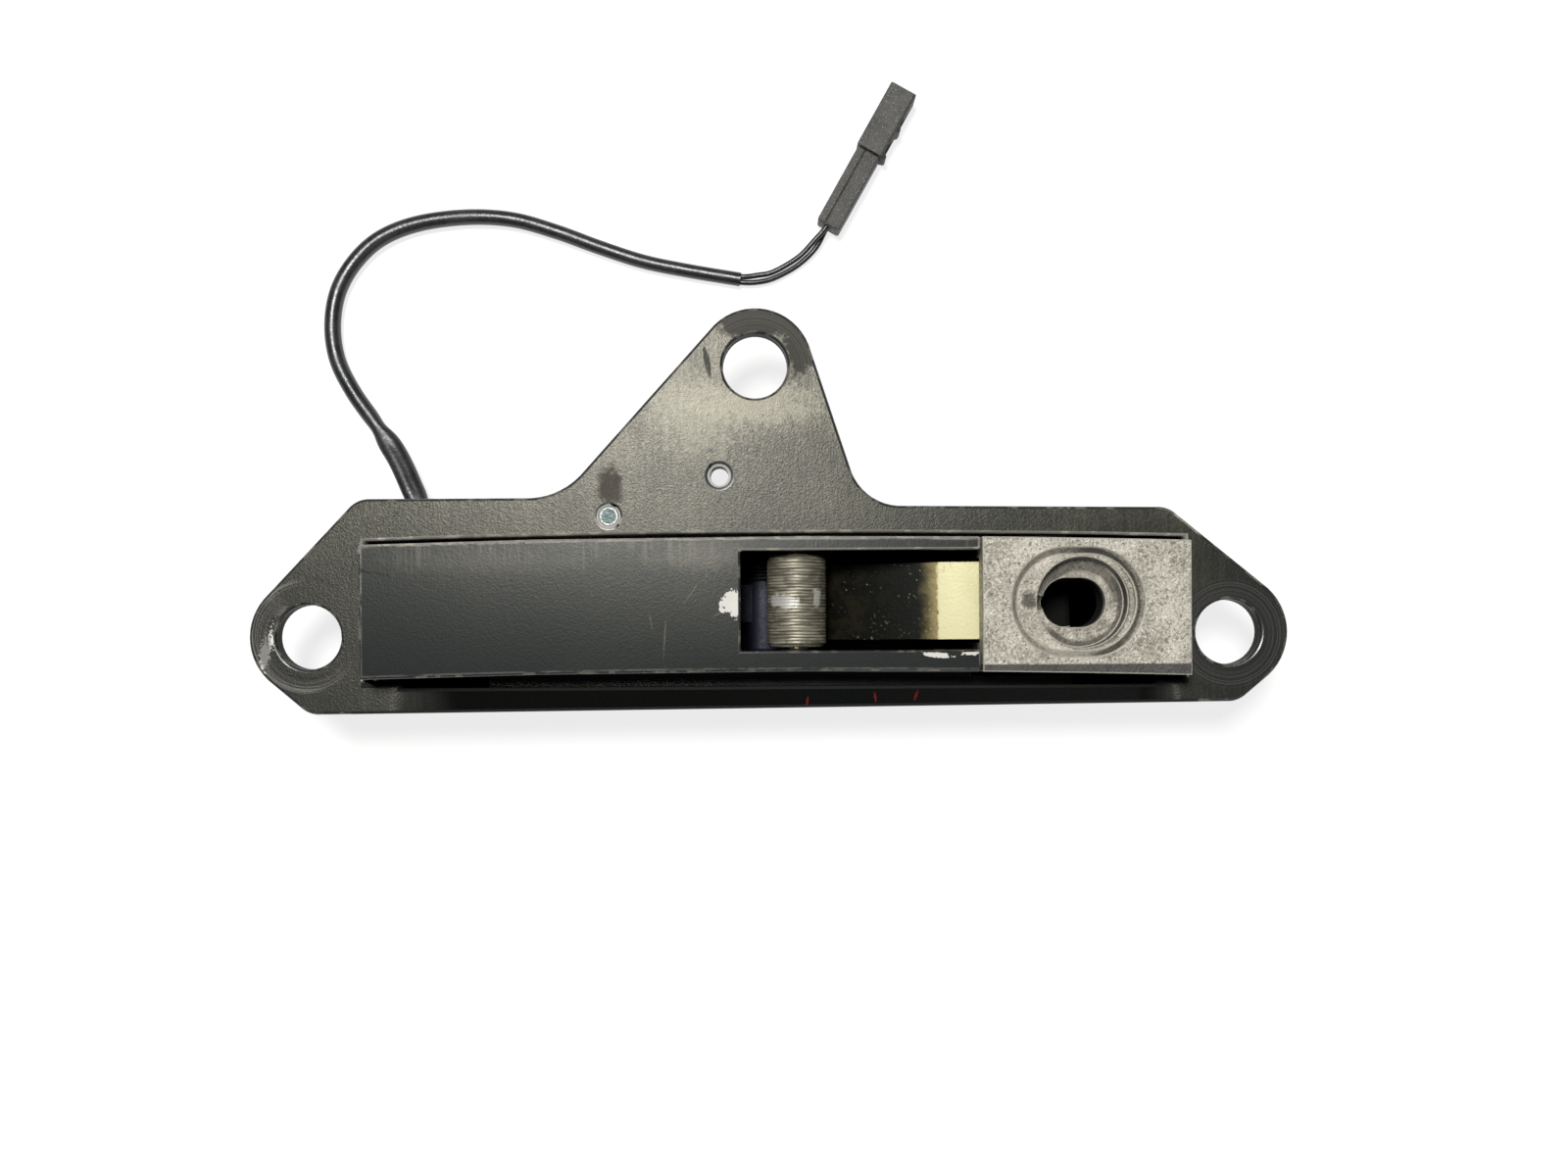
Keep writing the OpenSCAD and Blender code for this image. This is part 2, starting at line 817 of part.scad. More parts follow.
module inner_leads() {
  y1 = case_y1 + grommet_flange_t - grommet_l;
  z = rod_z - flange_r - tag_ledge_h - 0.8;
  color([0.6, 0.1, 0.08])
    placed()
      for (s = [-1, 1])
        tube(curve([
          [exit[0] + lead_half * s, y1 + 0.4, exit[2]],
          [exit[0] + lead_half * s, y1 - 3, exit[2] - 0.6],
          [exit[0] + 2 + lead_half * s, yc + 6 + s, 3.8],
          [frame_x0 - 1, yc + 3 * s + 1, z],
          [frame_x0 + frame_t + 0.1, yc + 3 * s, z],
        ], 6), lead_r);
}

module return_spring() {
  color([0.7, 0.7, 0.72])
    placed()
      tube(coil_x([yc, rod_z], armature_r + 1, frame_x0 - spring_l + 0.4, frame_x0 - 0.4, 5),
        0.3, 6, [1, 0, 0]);
}

module armature() {
  color([0.66, 0.67, 0.68])
    placed()
      union() {
        pin_x(armature_r, frame_x0 - spring_l - head_t, armature_x1);
        pin_x(head_r, frame_x0 - spring_l - head_t, frame_x0 - spring_l);
      }
}

module push_rod() {
  color([0.76, 0.62, 0.3])
    placed()
      union() {
        pin_x(rod_r, armature_x1, tip_x - rod_r);
        translate([tip_x - rod_r, yc, rod_z])
          sphere(r = rod_r);
      }
}

module rod_clip() {
  color([0.3, 0.3, 0.32])
    placed()
      difference() {
        pin_x(clip_r, frame_x1 + 0.1, frame_x1 + 0.1 + clip_t);
        pin_x(rod_r, frame_x1, frame_x1 + 1 + clip_t);
        box([frame_x1, yc - 0.9, rod_z - clip_r - over],
          [frame_x1 + 1 + clip_t, yc + 0.9, rod_z]);
      }
}

// ---- pawl ----

module pawl() {
  color([0.5, 0.5, 0.52])
    placed()
      difference() {
        translate([pawl_p[0], 0, pawl_p[1]])
          across(yc, pawl_w)
            rotate(lean) {
              circle(r = pawl_hub_r);
              translate([-pawl_half, 0])
                square([2 * pawl_half, pawl_l - pawl_half]);
              translate([0, pawl_l - pawl_half])
                circle(r = pawl_half);
              rotate(lean)
                translate([0, nose_z0])
                  square([nose_x, nose_z1 - nose_z0]);
            }
        pin_y(pawl_p, pawl_pin_r + run_fit, yc - pawl_w, yc + pawl_w);
      }
}

module pawl_pin() {
  color([0.65, 0.65, 0.67])
    placed()
      pin_y(pawl_p, pawl_pin_r, yc - pawl_pin_half, yc + pawl_pin_half);
}

module pawl_spring() {
  y0 = yc + pawl_w / 2 + 0.35;
  color([0.7, 0.7, 0.72])
    placed()
      tube(concat(
        [[pawl_p[0] + 1.5, y0, pawl_p[1] - 1.9]],
        coil_y(pawl_p, 1.5, y0, y0 + 1, 2, 0),
        [[pawl_p[0] + 1.5, y0 + 1, pawl_p[1] + 6]]),
        0.22, 6, [0, 1, 0]);
}

// ---- keeper ----

module keeper_lever() {
  to_roller = roller_p - keeper_p;
  arm_dir = atan2(to_roller[1], to_roller[0]);
  color([0.42, 0.42, 0.43])
    placed()
      difference() {
        union() {
          pin_y(keeper_p, hub_r, yc - cheek_half - over / 2, yc + cheek_half + over / 2);
          for (s = [-1, 1])
            translate([keeper_p[0], 0, keeper_p[1]])
              across(yc + s * (cheek_half + cheek_t / 2), cheek_t)
                rotate(arm_dir) {
                  circle(r = cheek_r);
                  translate([norm(to_roller), 0])
                    circle(r = cheek_r);
                  translate([0, -cheek_r])
                    square([norm(to_roller), 2 * cheek_r]);
                }
          translate([keeper_p[0], 0, keeper_p[1]])
            across(yc, tail_w)
              rotate(tail_dir) {
                translate([0, -tail_half])
                  square([tail_l, 2 * tail_half]);
                translate([0, -finger_half])
                  square([finger_l, 2 * finger_half]);
              }
        }
        pin_y(keeper_p, pin_r + run_fit, yc - keeper_bay_half - over, yc + keeper_bay_half + over);
        pin_y(roller_p, pin_r + still_fit, yc - keeper_bay_half - over,
          yc + keeper_bay_half + over);
      }
}

module keeper_pin() {
  color([0.65, 0.65, 0.67])
    placed()
      pin_y(keeper_p, pin_r, yc - keeper_pin_half, yc + keeper_pin_half);
}

module keeper_spring() {
  y0 = yc + tail_w / 2 + 0.9;
  color([0.7, 0.7, 0.72])
    placed()
      tube(concat(
        [[keeper_p[0] + 4.2, y0, keeper_p[1] - 5.5]],
        coil_y(keeper_p, 4.2, y0, y0 + 3.4, 4, 0),
        [[keeper_p[0] + 4.2, y0 + 3.4, keeper_p[1] + 6.5]]),
        0.35, 6, [0, 1, 0]);
}

module stop_buffer() {
  color([0.08, 0.08, 0.08])
    placed()
      translate([-12, yc, keeper_p[1] + 5.8])
        cylinder(r = 2.2, h = z_plate - 3 - keeper_p[1] - 5.8);
}

module roller_pin() {
  color([0.6, 0.6, 0.6])
    placed()
      pin_y(roller_p, pin_r, yc - cheek_half - cheek_t, yc + cheek_half + cheek_t);
}

module roller_washers() {
  color([0.7, 0.6, 0.35])
    placed()
      for (s = [-1, 1])
        difference() {
          pin_y(roller_p, pin_r + 1.4, yc + s * (roller_half + washer_gap + washer_t / 2)
            - washer_t / 2, yc + s * (roller_half + washer_gap + washer_t / 2) + washer_t / 2);
          pin_y(roller_p, pin_r + still_fit, yc - cheek_half, yc + cheek_half);
        }
}

module roller() {
  r = roller_d / 2;
  chamfer = 0.6;
  color([0.56, 0.55, 0.5])
    placed()
      translate([roller_p[0], yc, roller_p[1]])
        rotate([90, 0, 0])
          rotate_extrude()
            polygon([
              [pin_r + run_fit, -roller_half],
              [r - chamfer, -roller_half],
              [r, chamfer - roller_half],
              [r, roller_half - chamfer],
              [r - chamfer, roller_half],
              [pin_r + run_fit, roller_half],
            ]);
}

// ---- ejector ----

module ejector_flap() {
  color([0.8, 0.68, 0.35])
    placed()
      difference() {
        union() {
          pin_y(flap_p, knuckle_r, flap_yc - flap_w / 2, flap_yc + flap_w / 2);
          box([flap_bend_x, flap_yc - flap_w / 2, flap_top - flap_t],
            [flap_p[0], flap_yc + flap_w / 2, flap_top]);
          translate([flap_bend_x, 0, flap_top])
            across(flap_yc, flap_w)
              rotate(180 + flap_slope)
                square([flap_slope_l, flap_t]);
        }
        pin_y(flap_p, flap_pin_r + run_fit, flap_yc - flap_w, flap_yc + flap_w);
        box([flap_p[0] - knuckle_r - 0.4, flap_yc - spring_slot / 2, flap_p[1] - knuckle_r - over],
          [flap_p[0] + knuckle_r + over, flap_yc + spring_slot / 2, flap_top + over]);
      }
}

module ejector_pin() {
  color([0.65, 0.65, 0.67])
    placed()
      pin_y(flap_p, flap_pin_r, yc - flap_pin_half, yc + flap_pin_half);
}

module ejector_spring() {
  y0 = flap_yc - spring_slot / 2 + 0.8;
  y1 = flap_yc + spring_slot / 2 - 0.8;
  color([0.7, 0.7, 0.72])
    placed()
      tube(concat(
        [[flap_p[0] + 1.9, y0, flap_p[1] - 5]],
        coil_y(flap_p, 1.9, y0, y1, 4, 0),
        [[flap_p[0] + 1.7, y1, flap_p[1] + 3]]),
        0.3, 6, [0, 1, 0]);
}

// ---- cable ----

module cable_grommet() {
  color([0.1, 0.1, 0.1])
    placed()
      difference() {
        union() {
          pin_y([exit[0], exit[2]], grommet_r, case_y1 + grommet_flange_t - grommet_l,
            case_y1 + grommet_flange_t);
          pin_y([exit[0], exit[2]], grommet_flange_r, case_y1, case_y1 + grommet_flange_t);
        }
        pin_y([exit[0], exit[2]], sleeve_r + run_fit,
          case_y1 + grommet_flange_t - socket_l, case_y1 + 2 * grommet_flange_t);
        for (s = [-1, 1])
          pin_y([exit[0] + lead_half * s, exit[2]], lead_r + run_fit,
            case_y1 - grommet_l, case_y1);
      }
}

module cable_sleeve() {
  color([0.16, 0.17, 0.17])
    placed()
      tube(curve(sleeve_route, 3), sleeve_r);
}

module wire_a() {
  color([0.12, 0.12, 0.12])
    placed()
      tube(curve(wire_a_route, 3), wire_r);
}

module wire_b() {
  color([0.12, 0.12, 0.12])
    placed()
      tube(curve(wire_b_route, 3), wire_r);
}

// stands along the connector's own axis, which leaves its rear face
module on_plug() {
  placed()
    translate(plug_at)
      rotate([0, 0, plug_dir])
        children();
}

module connector_plug() {
  color([0.15, 0.15, 0.14])
    on_plug() {
      difference() {
        box([0, -plug_w / 2, -plug_h / 2], [plug_l, plug_w / 2, plug_h / 2]);
        // seam between the two halves of the body
        for (s = [-1, 1])
          box([-over, seam_y, s * plug_h / 2 - seam_w / 2],
            [plug_l + over, seam_y + seam_w, s * plug_h / 2 + seam_w / 2]);
      }
      box([plug_l - over, -plug_nose_w / 2, -plug_nose_h / 2],
        [plug_l + plug_nose_l, plug_nose_w / 2, plug_nose_h / 2]);
    }
}

module connector_shroud() {
  color([0.13, 0.13, 0.12])
    on_plug()
      difference() {
        union() {
          box([plug_l, -shroud_w / 2, -shroud_h / 2],
            [plug_l + shroud_l, shroud_w / 2, shroud_h / 2]);
          // thumb rest and bump of the side latch
          box([plug_l - 1.2, -shroud_w / 2 - 0.8, -latch_h / 2],
            [plug_l + 1, -plug_w / 2 - 2 * shroud_fit, latch_h / 2]);
          box([plug_l + 6, -shroud_w / 2 - 0.5, -latch_h / 2],
            [plug_l + 8, over - shroud_w / 2, latch_h / 2]);
        }
        box([plug_l - over, -plug_nose_w / 2 - shroud_fit, -plug_nose_h / 2 - shroud_fit],
          [plug_l + shroud_l + over, plug_nose_w / 2 + shroud_fit,
            plug_nose_h / 2 + shroud_fit]);
      }
}

module contact_pins() {
  color([0.8, 0.75, 0.5])
    on_plug()
      for (s = [-1, 1])
        box([plug_l + plug_nose_l, -0.32, s * contact_half - 0.32],
          [plug_l + shroud_l - 1, 0.32, s * contact_half + 0.32]);
}

mounting_plate();
housing();
rear_cover();
cover_screws();
end_block();
block_screws();
plate_screws();
locked_screw();
solenoid_frame();
coil_bobbin();
coil_winding();
coil_tape();
fixed_core();
solenoid_screws();
solder_tags();
inner_leads();
keeper_pin();
keeper_spring();
stop_buffer();
pawl_pin();
pawl_spring();
return_spring();
ejector_pin();
ejector_spring();
cable_grommet();
cable_sleeve();
wire_a();
wire_b();
connector_plug();
connector_shroud();
contact_pins();
keeper_lever();
roller_pin();
roller_washers();
roller();
pawl();
armature();
push_rod();
rod_clip();
ejector_flap();
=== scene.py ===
"""Looks of an electric door strike: a coated three-eyed plate with a bar on it, in which a grooved
roller and a plated flap work behind a window, a blasted end block, and a short sleeved cable."""
import math

import bmesh
import bpy
import numpy as np
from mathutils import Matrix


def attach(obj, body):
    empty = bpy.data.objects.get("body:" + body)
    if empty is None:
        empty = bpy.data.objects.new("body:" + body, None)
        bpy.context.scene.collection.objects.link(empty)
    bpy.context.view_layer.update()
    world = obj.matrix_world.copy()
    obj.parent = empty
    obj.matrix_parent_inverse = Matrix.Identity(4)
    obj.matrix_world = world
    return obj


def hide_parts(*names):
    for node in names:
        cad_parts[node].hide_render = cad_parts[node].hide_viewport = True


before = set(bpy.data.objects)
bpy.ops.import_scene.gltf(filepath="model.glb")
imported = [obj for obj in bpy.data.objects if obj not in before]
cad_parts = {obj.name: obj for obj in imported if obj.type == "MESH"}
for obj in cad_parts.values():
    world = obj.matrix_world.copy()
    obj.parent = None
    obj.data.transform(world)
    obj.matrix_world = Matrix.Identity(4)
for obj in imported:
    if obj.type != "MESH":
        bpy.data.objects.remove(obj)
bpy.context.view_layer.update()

# ---- Camera
# Held straight above the bar, a hand's breadth off, with the cable end in the upper half of the
# picture. Places are given in millimetres from the middle of the line of the two side eyes.
EYE_LINE_Y = -0.0251047


def mm(x, y, z):
    """Place in metres in the part's frame: millimetres over 1000, moved by the eye line in y."""
    return (x / 1000, y / 1000 + EYE_LINE_Y, z / 1000)


camera = bpy.data.objects.new("camera", bpy.data.cameras.new("camera"))
camera.location = mm(-1.8, -0.4, 289)
camera.rotation_euler = (0, 0, math.radians(-0.35))
camera.data.sensor_width = 36
camera.data.lens = 30.26
camera.data.shift_x = 0.0156
camera.data.shift_y = 0.031
camera.data.clip_start = 0.01
bpy.context.collection.objects.link(camera)
bpy.context.scene.camera = camera
bpy.context.scene.view_settings.view_transform = "Standard"

# ---- Cable sleeve
# A thin-walled black sleeve drawn over two wires. It leaves the case flat and wide, turns once
# where it reaches the table, and lies in one loop to its open end.
SLEEVE_ROUTE = [
    (-74.3, 21.7, 5.2), (-74.3, 25.9, 5.2), (-74.3, 27.1, 5.2), (-76.3, 31.5, 4.7),
    (-80, 39, 3.3), (-85.1, 46.5, 2.2), (-90, 53.5, 1.9), (-93.4, 60.5, 1.8),
    (-94.4, 68, 1.8), (-93.1, 75.5, 1.8), (-89.3, 82, 1.75), (-83.6, 87, 1.75),
    (-75.5, 90.1, 1.7), (-65, 91.4, 1.7), (-55, 90.8, 1.65), (-45.5, 88.1, 1.65),
    (-36, 84.6, 1.6), (-26.5, 81.5, 1.55), (-16.5, 79.4, 1.55), (-5.5, 77.5, 1.55)]
SLEEVE_BLACK = (0.012, 0.013, 0.016, 1)


def through(route, steps):
    """Smooth line through the route's points: on each stretch a cubic whose slope at either end
    is half the way between that point's two neighbours."""
    p = np.array([mm(*point) for point in route])
    p = np.vstack([2 * p[0] - p[1], p, 2 * p[-1] - p[-2]])
    t = np.linspace(0, 1, steps, endpoint=False)[:, None, None]
    a, b, c, d = p[:-3], p[1:-2], p[2:-1], p[3:]
    line = 0.5 * (2 * b + (c - a) * t + (2 * a - 5 * b + 4 * c - d) * t**2
                  + (3 * b - a - 3 * c + d) * t**3)
    return np.vstack([line.transpose(1, 0, 2).reshape(-1, 3), p[-2]])


def smooth(x, low, high):
    """Rises from 0 at low to 1 at high, level at both ends."""
    t = np.clip((x - low) / (high - low), 0, 1)
    return t * t * (3 - 2 * t)


def skin(name, rings, finish, body, closed=False, place=None):
    """Mesh over a grid of rings, each ring joined to the next by four-sided faces. A closed grid
    also joins its last ring to its first; otherwise a flat face closes either end."""
    n, m = rings.shape[:2]
    i, j = np.meshgrid(np.arange(n if closed else n - 1), np.arange(m), indexing="ij")
    k, l = (i + 1) % n, (j + 1) % m
    faces = np.stack([i * m + j, i * m + l, k * m + l, k * m + j], -1).reshape(-1, 4).tolist()
    if not closed:
        faces += [list(range(m)), list(range((n - 1) * m, n * m))]
    mesh = bpy.data.meshes.new(name)
    mesh.from_pydata(rings.reshape(-1, 3).tolist(), [], faces)
    if place is not None:
        mark = mesh.attributes.new("place", "FLOAT_VECTOR", "POINT")
        mark.data.foreach_set("vector", place.reshape(-1).astype(np.float32))
    b = bmesh.new()
    b.from_mesh(mesh)
    bmesh.ops.recalc_face_normals(b, faces=b.faces)
    b.to_mesh(mesh)
    b.free()
    mesh.polygons.foreach_set("use_smooth", np.ones(len(mesh.polygons), bool))
    mesh.set_sharp_from_angle(angle=math.radians(40))
    mesh.materials.append(finish)
    piece = bpy.data.objects.new(name, mesh)
    bpy.context.collection.objects.link(piece)
    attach(piece, body)
    return piece


def node(tree, kind, inputs=None, **props):
    """One shader node, with its settings, and its inputs either linked or given a value."""
    made = tree.nodes.new("ShaderNode" + kind)
    for key, value in props.items():
        setattr(made, key, value)
    for key, value in (inputs or {}).items():
        if isinstance(value, bpy.types.NodeSocket):
            tree.links.new(value, made.inputs[key])
        else:
            made.inputs[key].default_value = value
    return made


def calc(tree, operation, a, b=0.0, c=0.0):
    """One sum on numbers."""
    return node(tree, "Math", {0: a, 1: b, 2: c}, operation=operation).outputs[0]


def product(tree, first, *others):
    """All the numbers multiplied together."""
    for other in others:
        first = calc(tree, "MULTIPLY", first, other)
    return first


def blend(tree, share, a, b):
    """Colour a where share is 0 and colour b where it is 1."""
    return node(tree, "Mix", {0: share, 6: a, 7: b}, data_type="RGBA").outputs[2]


def between(tree, share, a, b):
    """Number a where share is 0 and number b where it is 1."""
    return node(tree, "Mix", {0: share, 2: a, 3: b}).outputs[0]


def step(tree, value, low, high):
    """Rises smoothly from 0 where value is low to 1 where it is high."""
    return node(tree, "MapRange", {0: value, 1: low, 2: high}, interpolation_type="SMOOTHSTEP").outputs[0]


def span(tree, value, low, high, soft):
    """1 where value lies between low and high, fading to 0 over soft to either side of each."""
    return product(tree, step(tree, value, low - soft, low + soft),
                   step(tree, value, high + soft, high - soft))


def cloud(tree, place, scale, detail=3.0, rough=0.5):
    """Soft random pattern of so many cells to the metre."""
    return node(tree, "TexNoise", {"Vector": place, "Scale": scale, "Detail": detail,
                                   "Roughness": rough}).outputs[0]


def material(name, **fixed):
    """A material of one Principled shader, whose constants stand on the shader's own sockets."""
    made = bpy.data.materials.new(name)
    made.use_nodes = True
    tree = made.node_tree
    shader = tree.nodes["Principled BSDF"]
    for socket, value in fixed.items():
        shader.inputs[socket.replace("_", " ")].default_value = value
    place = node(tree, "TexCoord").outputs["Object"]
    return made, tree, shader, place


def raise_surface(tree, shader, height, distance):
    """Lets a height between 0 and 1, times a distance in metres, tilt the surface's light."""
    bump = node(tree, "Bump", {"Height": height, "Distance": distance, "Strength": 1.0})
    tree.links.new(bump.outputs[0], shader.inputs["Normal"])


def effect(name, inputs, outputs):
    """A shared node group with named sockets, and its tree, its inputs and its output node."""
    tree = bpy.data.node_groups.new(name, "ShaderNodeTree")
    for label, (kind, value) in inputs.items():
        socket = tree.interface.new_socket(label, in_out="INPUT", socket_type="NodeSocket" + kind)
        socket.default_value = value
    for label in outputs:
        tree.interface.new_socket(label, in_out="OUTPUT", socket_type="NodeSocketFloat")
    return tree, tree.nodes.new("NodeGroupInput").outputs, tree.nodes.new("NodeGroupOutput")


def stamp(tree, group, **values):
    """Places a shared group in a material with its own values."""
    made = tree.nodes.new("ShaderNodeGroup")
    made.node_tree = group
    for label, value in values.items():
        made.inputs[label.replace("_", " ")].default_value = value
    return made.outputs


# moulded grain: fine pits, and a slow change of tone, shared by every plastic and rubber piece
moulded, m_in, m_out = effect("moulded_grain", {"Pits per metre": ("Float", 4000.0),
                                                "Patches per metre": ("Float", 150.0)},
                              ["Tone", "Height"])
m_place = node(moulded, "TexCoord").outputs["Object"]
m_pits = cloud(moulded, m_place, m_in["Pits per metre"], 2.0)
m_patch = cloud(moulded, m_place, m_in["Patches per metre"], 3.0)
m_tone = calc(moulded, "MULTIPLY_ADD", m_pits, 0.4, calc(moulded, "MULTIPLY", m_patch, 0.6))
moulded.links.new(m_tone, m_out.inputs["Tone"])
moulded.links.new(m_pits, m_out.inputs["Height"])


def plastic(name, dark, light, rough, pits, depth, patches=150.0, **fixed):
    """Moulded or extruded plastic: its tone runs between two colours and its skin is pitted."""
    made, tree, shader, place = material(name, **fixed)
    grain = stamp(tree, moulded, Pits_per_metre=pits, Patches_per_metre=patches)
    tone = step(tree, grain["Tone"], 0.35, 0.65)
    tree.links.new(blend(tree, tone, dark, light), shader.inputs["Base Color"])
    tree.links.new(between(tree, tone, rough * 0.85, rough * 1.1), shader.inputs["Roughness"])
    raise_surface(tree, shader, grain["Height"], depth)
    return made


sleeve_skin = plastic("sleeve_skin", SLEEVE_BLACK, (0.022, 0.023, 0.026, 1), 0.36, 1500.0, 0.00004,
                      Specular_IOR_Level=0.75)
sleeve_line = through(SLEEVE_ROUTE, 8)
run = np.concatenate([[0], np.cumsum(np.linalg.norm(np.diff(sleeve_line, axis=0), axis=1))])
SLEEVE_LENGTH = float(run[-1])


def sleeve_rings(line, run, around=48):
    """Ring across the line at each of its points: half width and half height change along the
    run, and beyond the exit the ring is drawn in at its waist, between the two wires. At the open
    end the rings turn inwards and run back inside the sleeve."""
    flat = smooth(run, 0.004, 0.010) * (1 - smooth(run, 0.021, 0.029))
    half = 0.00178 - 0.0003 * smooth(run, 0.05, SLEEVE_LENGTH)
    wide = half + 0.00068 * flat
    high = half - 0.0003 * flat - 0.00012 * np.exp(-((run - 0.026) / 0.002) ** 2)
    wide = wide - 0.0003 * np.exp(-((run - 0.0265) / 0.002) ** 2)
    inner = np.arange(len(line) - 1, len(line) - 5, -1)
    keep = np.concatenate([np.arange(len(line)), inner])
    thin = np.concatenate([np.ones(len(line)), np.full(len(inner), 0.72)])
    ahead = np.gradient(line, axis=0)[keep]
    ahead /= np.linalg.norm(ahead, axis=1)[:, None]
    side = np.cross(ahead, (0, 0, 1))
    side /= np.linalg.norm(side, axis=1)[:, None]
    up = np.cross(side, ahead)
    a = np.linspace(0, 2 * math.pi, around, endpoint=False)[None, :, None]
    waist = 1 - 0.10 * flat[keep][:, None, None] * np.exp(-(np.cos(a) / 0.3) ** 2)
    roll = (0.9 * smooth(run, 0.018, 0.034) - 0.35)[keep][:, None, None] * flat[keep][:, None, None]
    across = np.cos(a) * (wide[keep] * thin)[:, None, None]
    over = np.sin(a) * (high[keep] * thin)[:, None, None] * waist
    return (line[keep][:, None] + side[:, None] * (across * np.cos(roll) - over * np.sin(roll))
            + up[:, None] * (across * np.sin(roll) + over * np.cos(roll)))


sleeve = skin("cable_sleeve_tube", sleeve_rings(sleeve_line, run), sleeve_skin, "strike_body")
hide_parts("cable_sleeve")

# ---- Connector
# Two moulded halves pushed together: a slim rear half with a seam along it, and a wider front
# shroud with the thumb rest and bump of a side latch. Satin grey-black nylon.
PLUG_AT = (13.5, 88.2, 2.8)
PLUG_TURN = math.radians(60.5)
PLUG_L, PLUG_W, PLUG_H = 18.2, 5.3, 4.8
SHROUD_L, SHROUD_W, SHROUD_H = 15.3, 6.1, 5.6
SEAM_Y = 0.8


def bar_rings(along, half_w, half_h, corner, around=144):
    """Rounded oblong across each station: a point runs round the oblong's outline at even steps,
    and its corners are quarter circles. Sizes in millimetres; x runs along the connector."""
    a = np.linspace(0, 2 * math.pi, around, endpoint=False)
    square = np.maximum(np.abs(np.cos(a)), np.abs(np.sin(a)))
    u, v = np.cos(a) / square, np.sin(a) / square
    y = u[None] * half_w[:, None]
    z = v[None] * half_h[:, None]
    iy, iz = half_w[:, None] - corner[:, None], half_h[:, None] - corner[:, None]
    oy, oz = np.abs(y) - iy, np.abs(z) - iz
    reach = np.hypot(np.maximum(oy, 0), np.maximum(oz, 0))
    pull = np.where((oy > 0) & (oz > 0), corner[:, None] / np.maximum(reach, 1e-9), 1)
    y = np.sign(y) * (np.minimum(np.abs(y), iy) + np.maximum(oy, 0) * pull)
    z = np.sign(z) * (np.minimum(np.abs(z), iz) + np.maximum(oz, 0) * pull)
    x = np.broadcast_to(along[:, None], y.shape)
    return np.stack([x, y, z], -1)


def on_connector(local):
    """Turns the connector's own places, in millimetres, about the upright and sets them down."""
    x, y, z = local[..., 0], local[..., 1], local[..., 2]
    c, s = math.cos(PLUG_TURN), math.sin(PLUG_TURN)
    return np.stack([(PLUG_AT[0] + x * c - y * s) / 1000,
                     (PLUG_AT[1] + x * s + y * c) / 1000 + EYE_LINE_Y,
                     (PLUG_AT[2] + z) / 1000], -1)


def ends_rounded(length, r, n):
    """Stations along a length, close together near either end, and how far the outline stands
    back there: a quarter circle of radius r."""
    t = np.linspace(0, math.pi / 2, 6)
    first = r - r * np.cos(t)
    x = np.concatenate([first, np.linspace(r, length - r, n)[1:-1], length - first[::-1]])
    edge = np.clip(np.minimum(x, length - x), 0, r)
    return x, r - np.sqrt(np.maximum(r * r - (r - edge) ** 2, 0))


connector_skin, tree, shader, place = material("connector_skin", Specular_IOR_Level=0.55)
grain = stamp(tree, moulded, Pits_per_metre=5200.0, Patches_per_metre=260.0)
sparkle = step(tree, cloud(tree, place, 3800.0, 1.0), 0.62, 0.72)
local = node(tree, "Attribute", attribute_name="place").outputs["Vector"]
local_y = node(tree, "SeparateXYZ", {0: local}).outputs[1]
tone = blend(tree, step(tree, grain["Tone"], 0.3, 0.7), (0.038, 0.038, 0.035, 1), (0.085, 0.083, 0.076, 1))
tone = blend(tree, calc(tree, "MULTIPLY", sparkle, 0.8), tone, (0.30, 0.29, 0.27, 1))
shade = step(tree, local_y, -2.6, -2.3)
tone = blend(tree, between(tree, shade, 0.8, 0.0), tone, (0.02, 0.02, 0.022, 1))
tree.links.new(tone, shader.inputs["Base Color"])
tree.links.new(between(tree, grain["Tone"], 0.44, 0.6), shader.inputs["Roughness"])
raise_surface(tree, shader, grain["Height"], 0.00015)

x, back = ends_rounded(PLUG_L, 0.55, 60)
half_w = PLUG_W / 2 - back
half_h = PLUG_H / 2 - back
plug = bar_rings(x, half_w, half_h, np.full(len(x), 0.35))
seam = np.exp(-((plug[..., 1] - SEAM_Y) / 0.11) ** 2) * (np.abs(plug[..., 2]) > PLUG_H / 2 - 1.0)
plug[..., 2] -= np.sign(plug[..., 2]) * 0.34 * seam
plug_body = skin("connector_rear_half", on_connector(plug), connector_skin, "strike_body", place=plug)
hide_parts("connector_plug")

x, back = ends_rounded(SHROUD_L, 0.3, 110)
shroud = bar_rings(x + PLUG_L + 0.1, SHROUD_W / 2 - back, SHROUD_H / 2 - back, np.full(len(x), 0.25))
sx, sy, sz = shroud[..., 0] - PLUG_L, shroud[..., 1], shroud[..., 2]
latch = (0.8 * np.exp(-((sx - 0.6) / 0.7) ** 4) + 0.6 * np.exp(-((sx - 7.2) / 0.8) ** 4)
         - 0.8 * np.exp(-((sx - 3.7) / 1.7) ** 2) - 0.6 * np.exp(-((sx - 10.0) / 1.3) ** 2))
on_side = smooth(-sy, SHROUD_W / 2 - 0.9, SHROUD_W / 2 - 0.1) * (1 - smooth(np.abs(sz), 1.9, 2.5))
shroud[..., 1] -= latch * on_side
shroud_body = skin("connector_front_shroud", on_connector(shroud), connector_skin, "strike_body",
                   place=shroud)
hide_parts("connector_shroud")

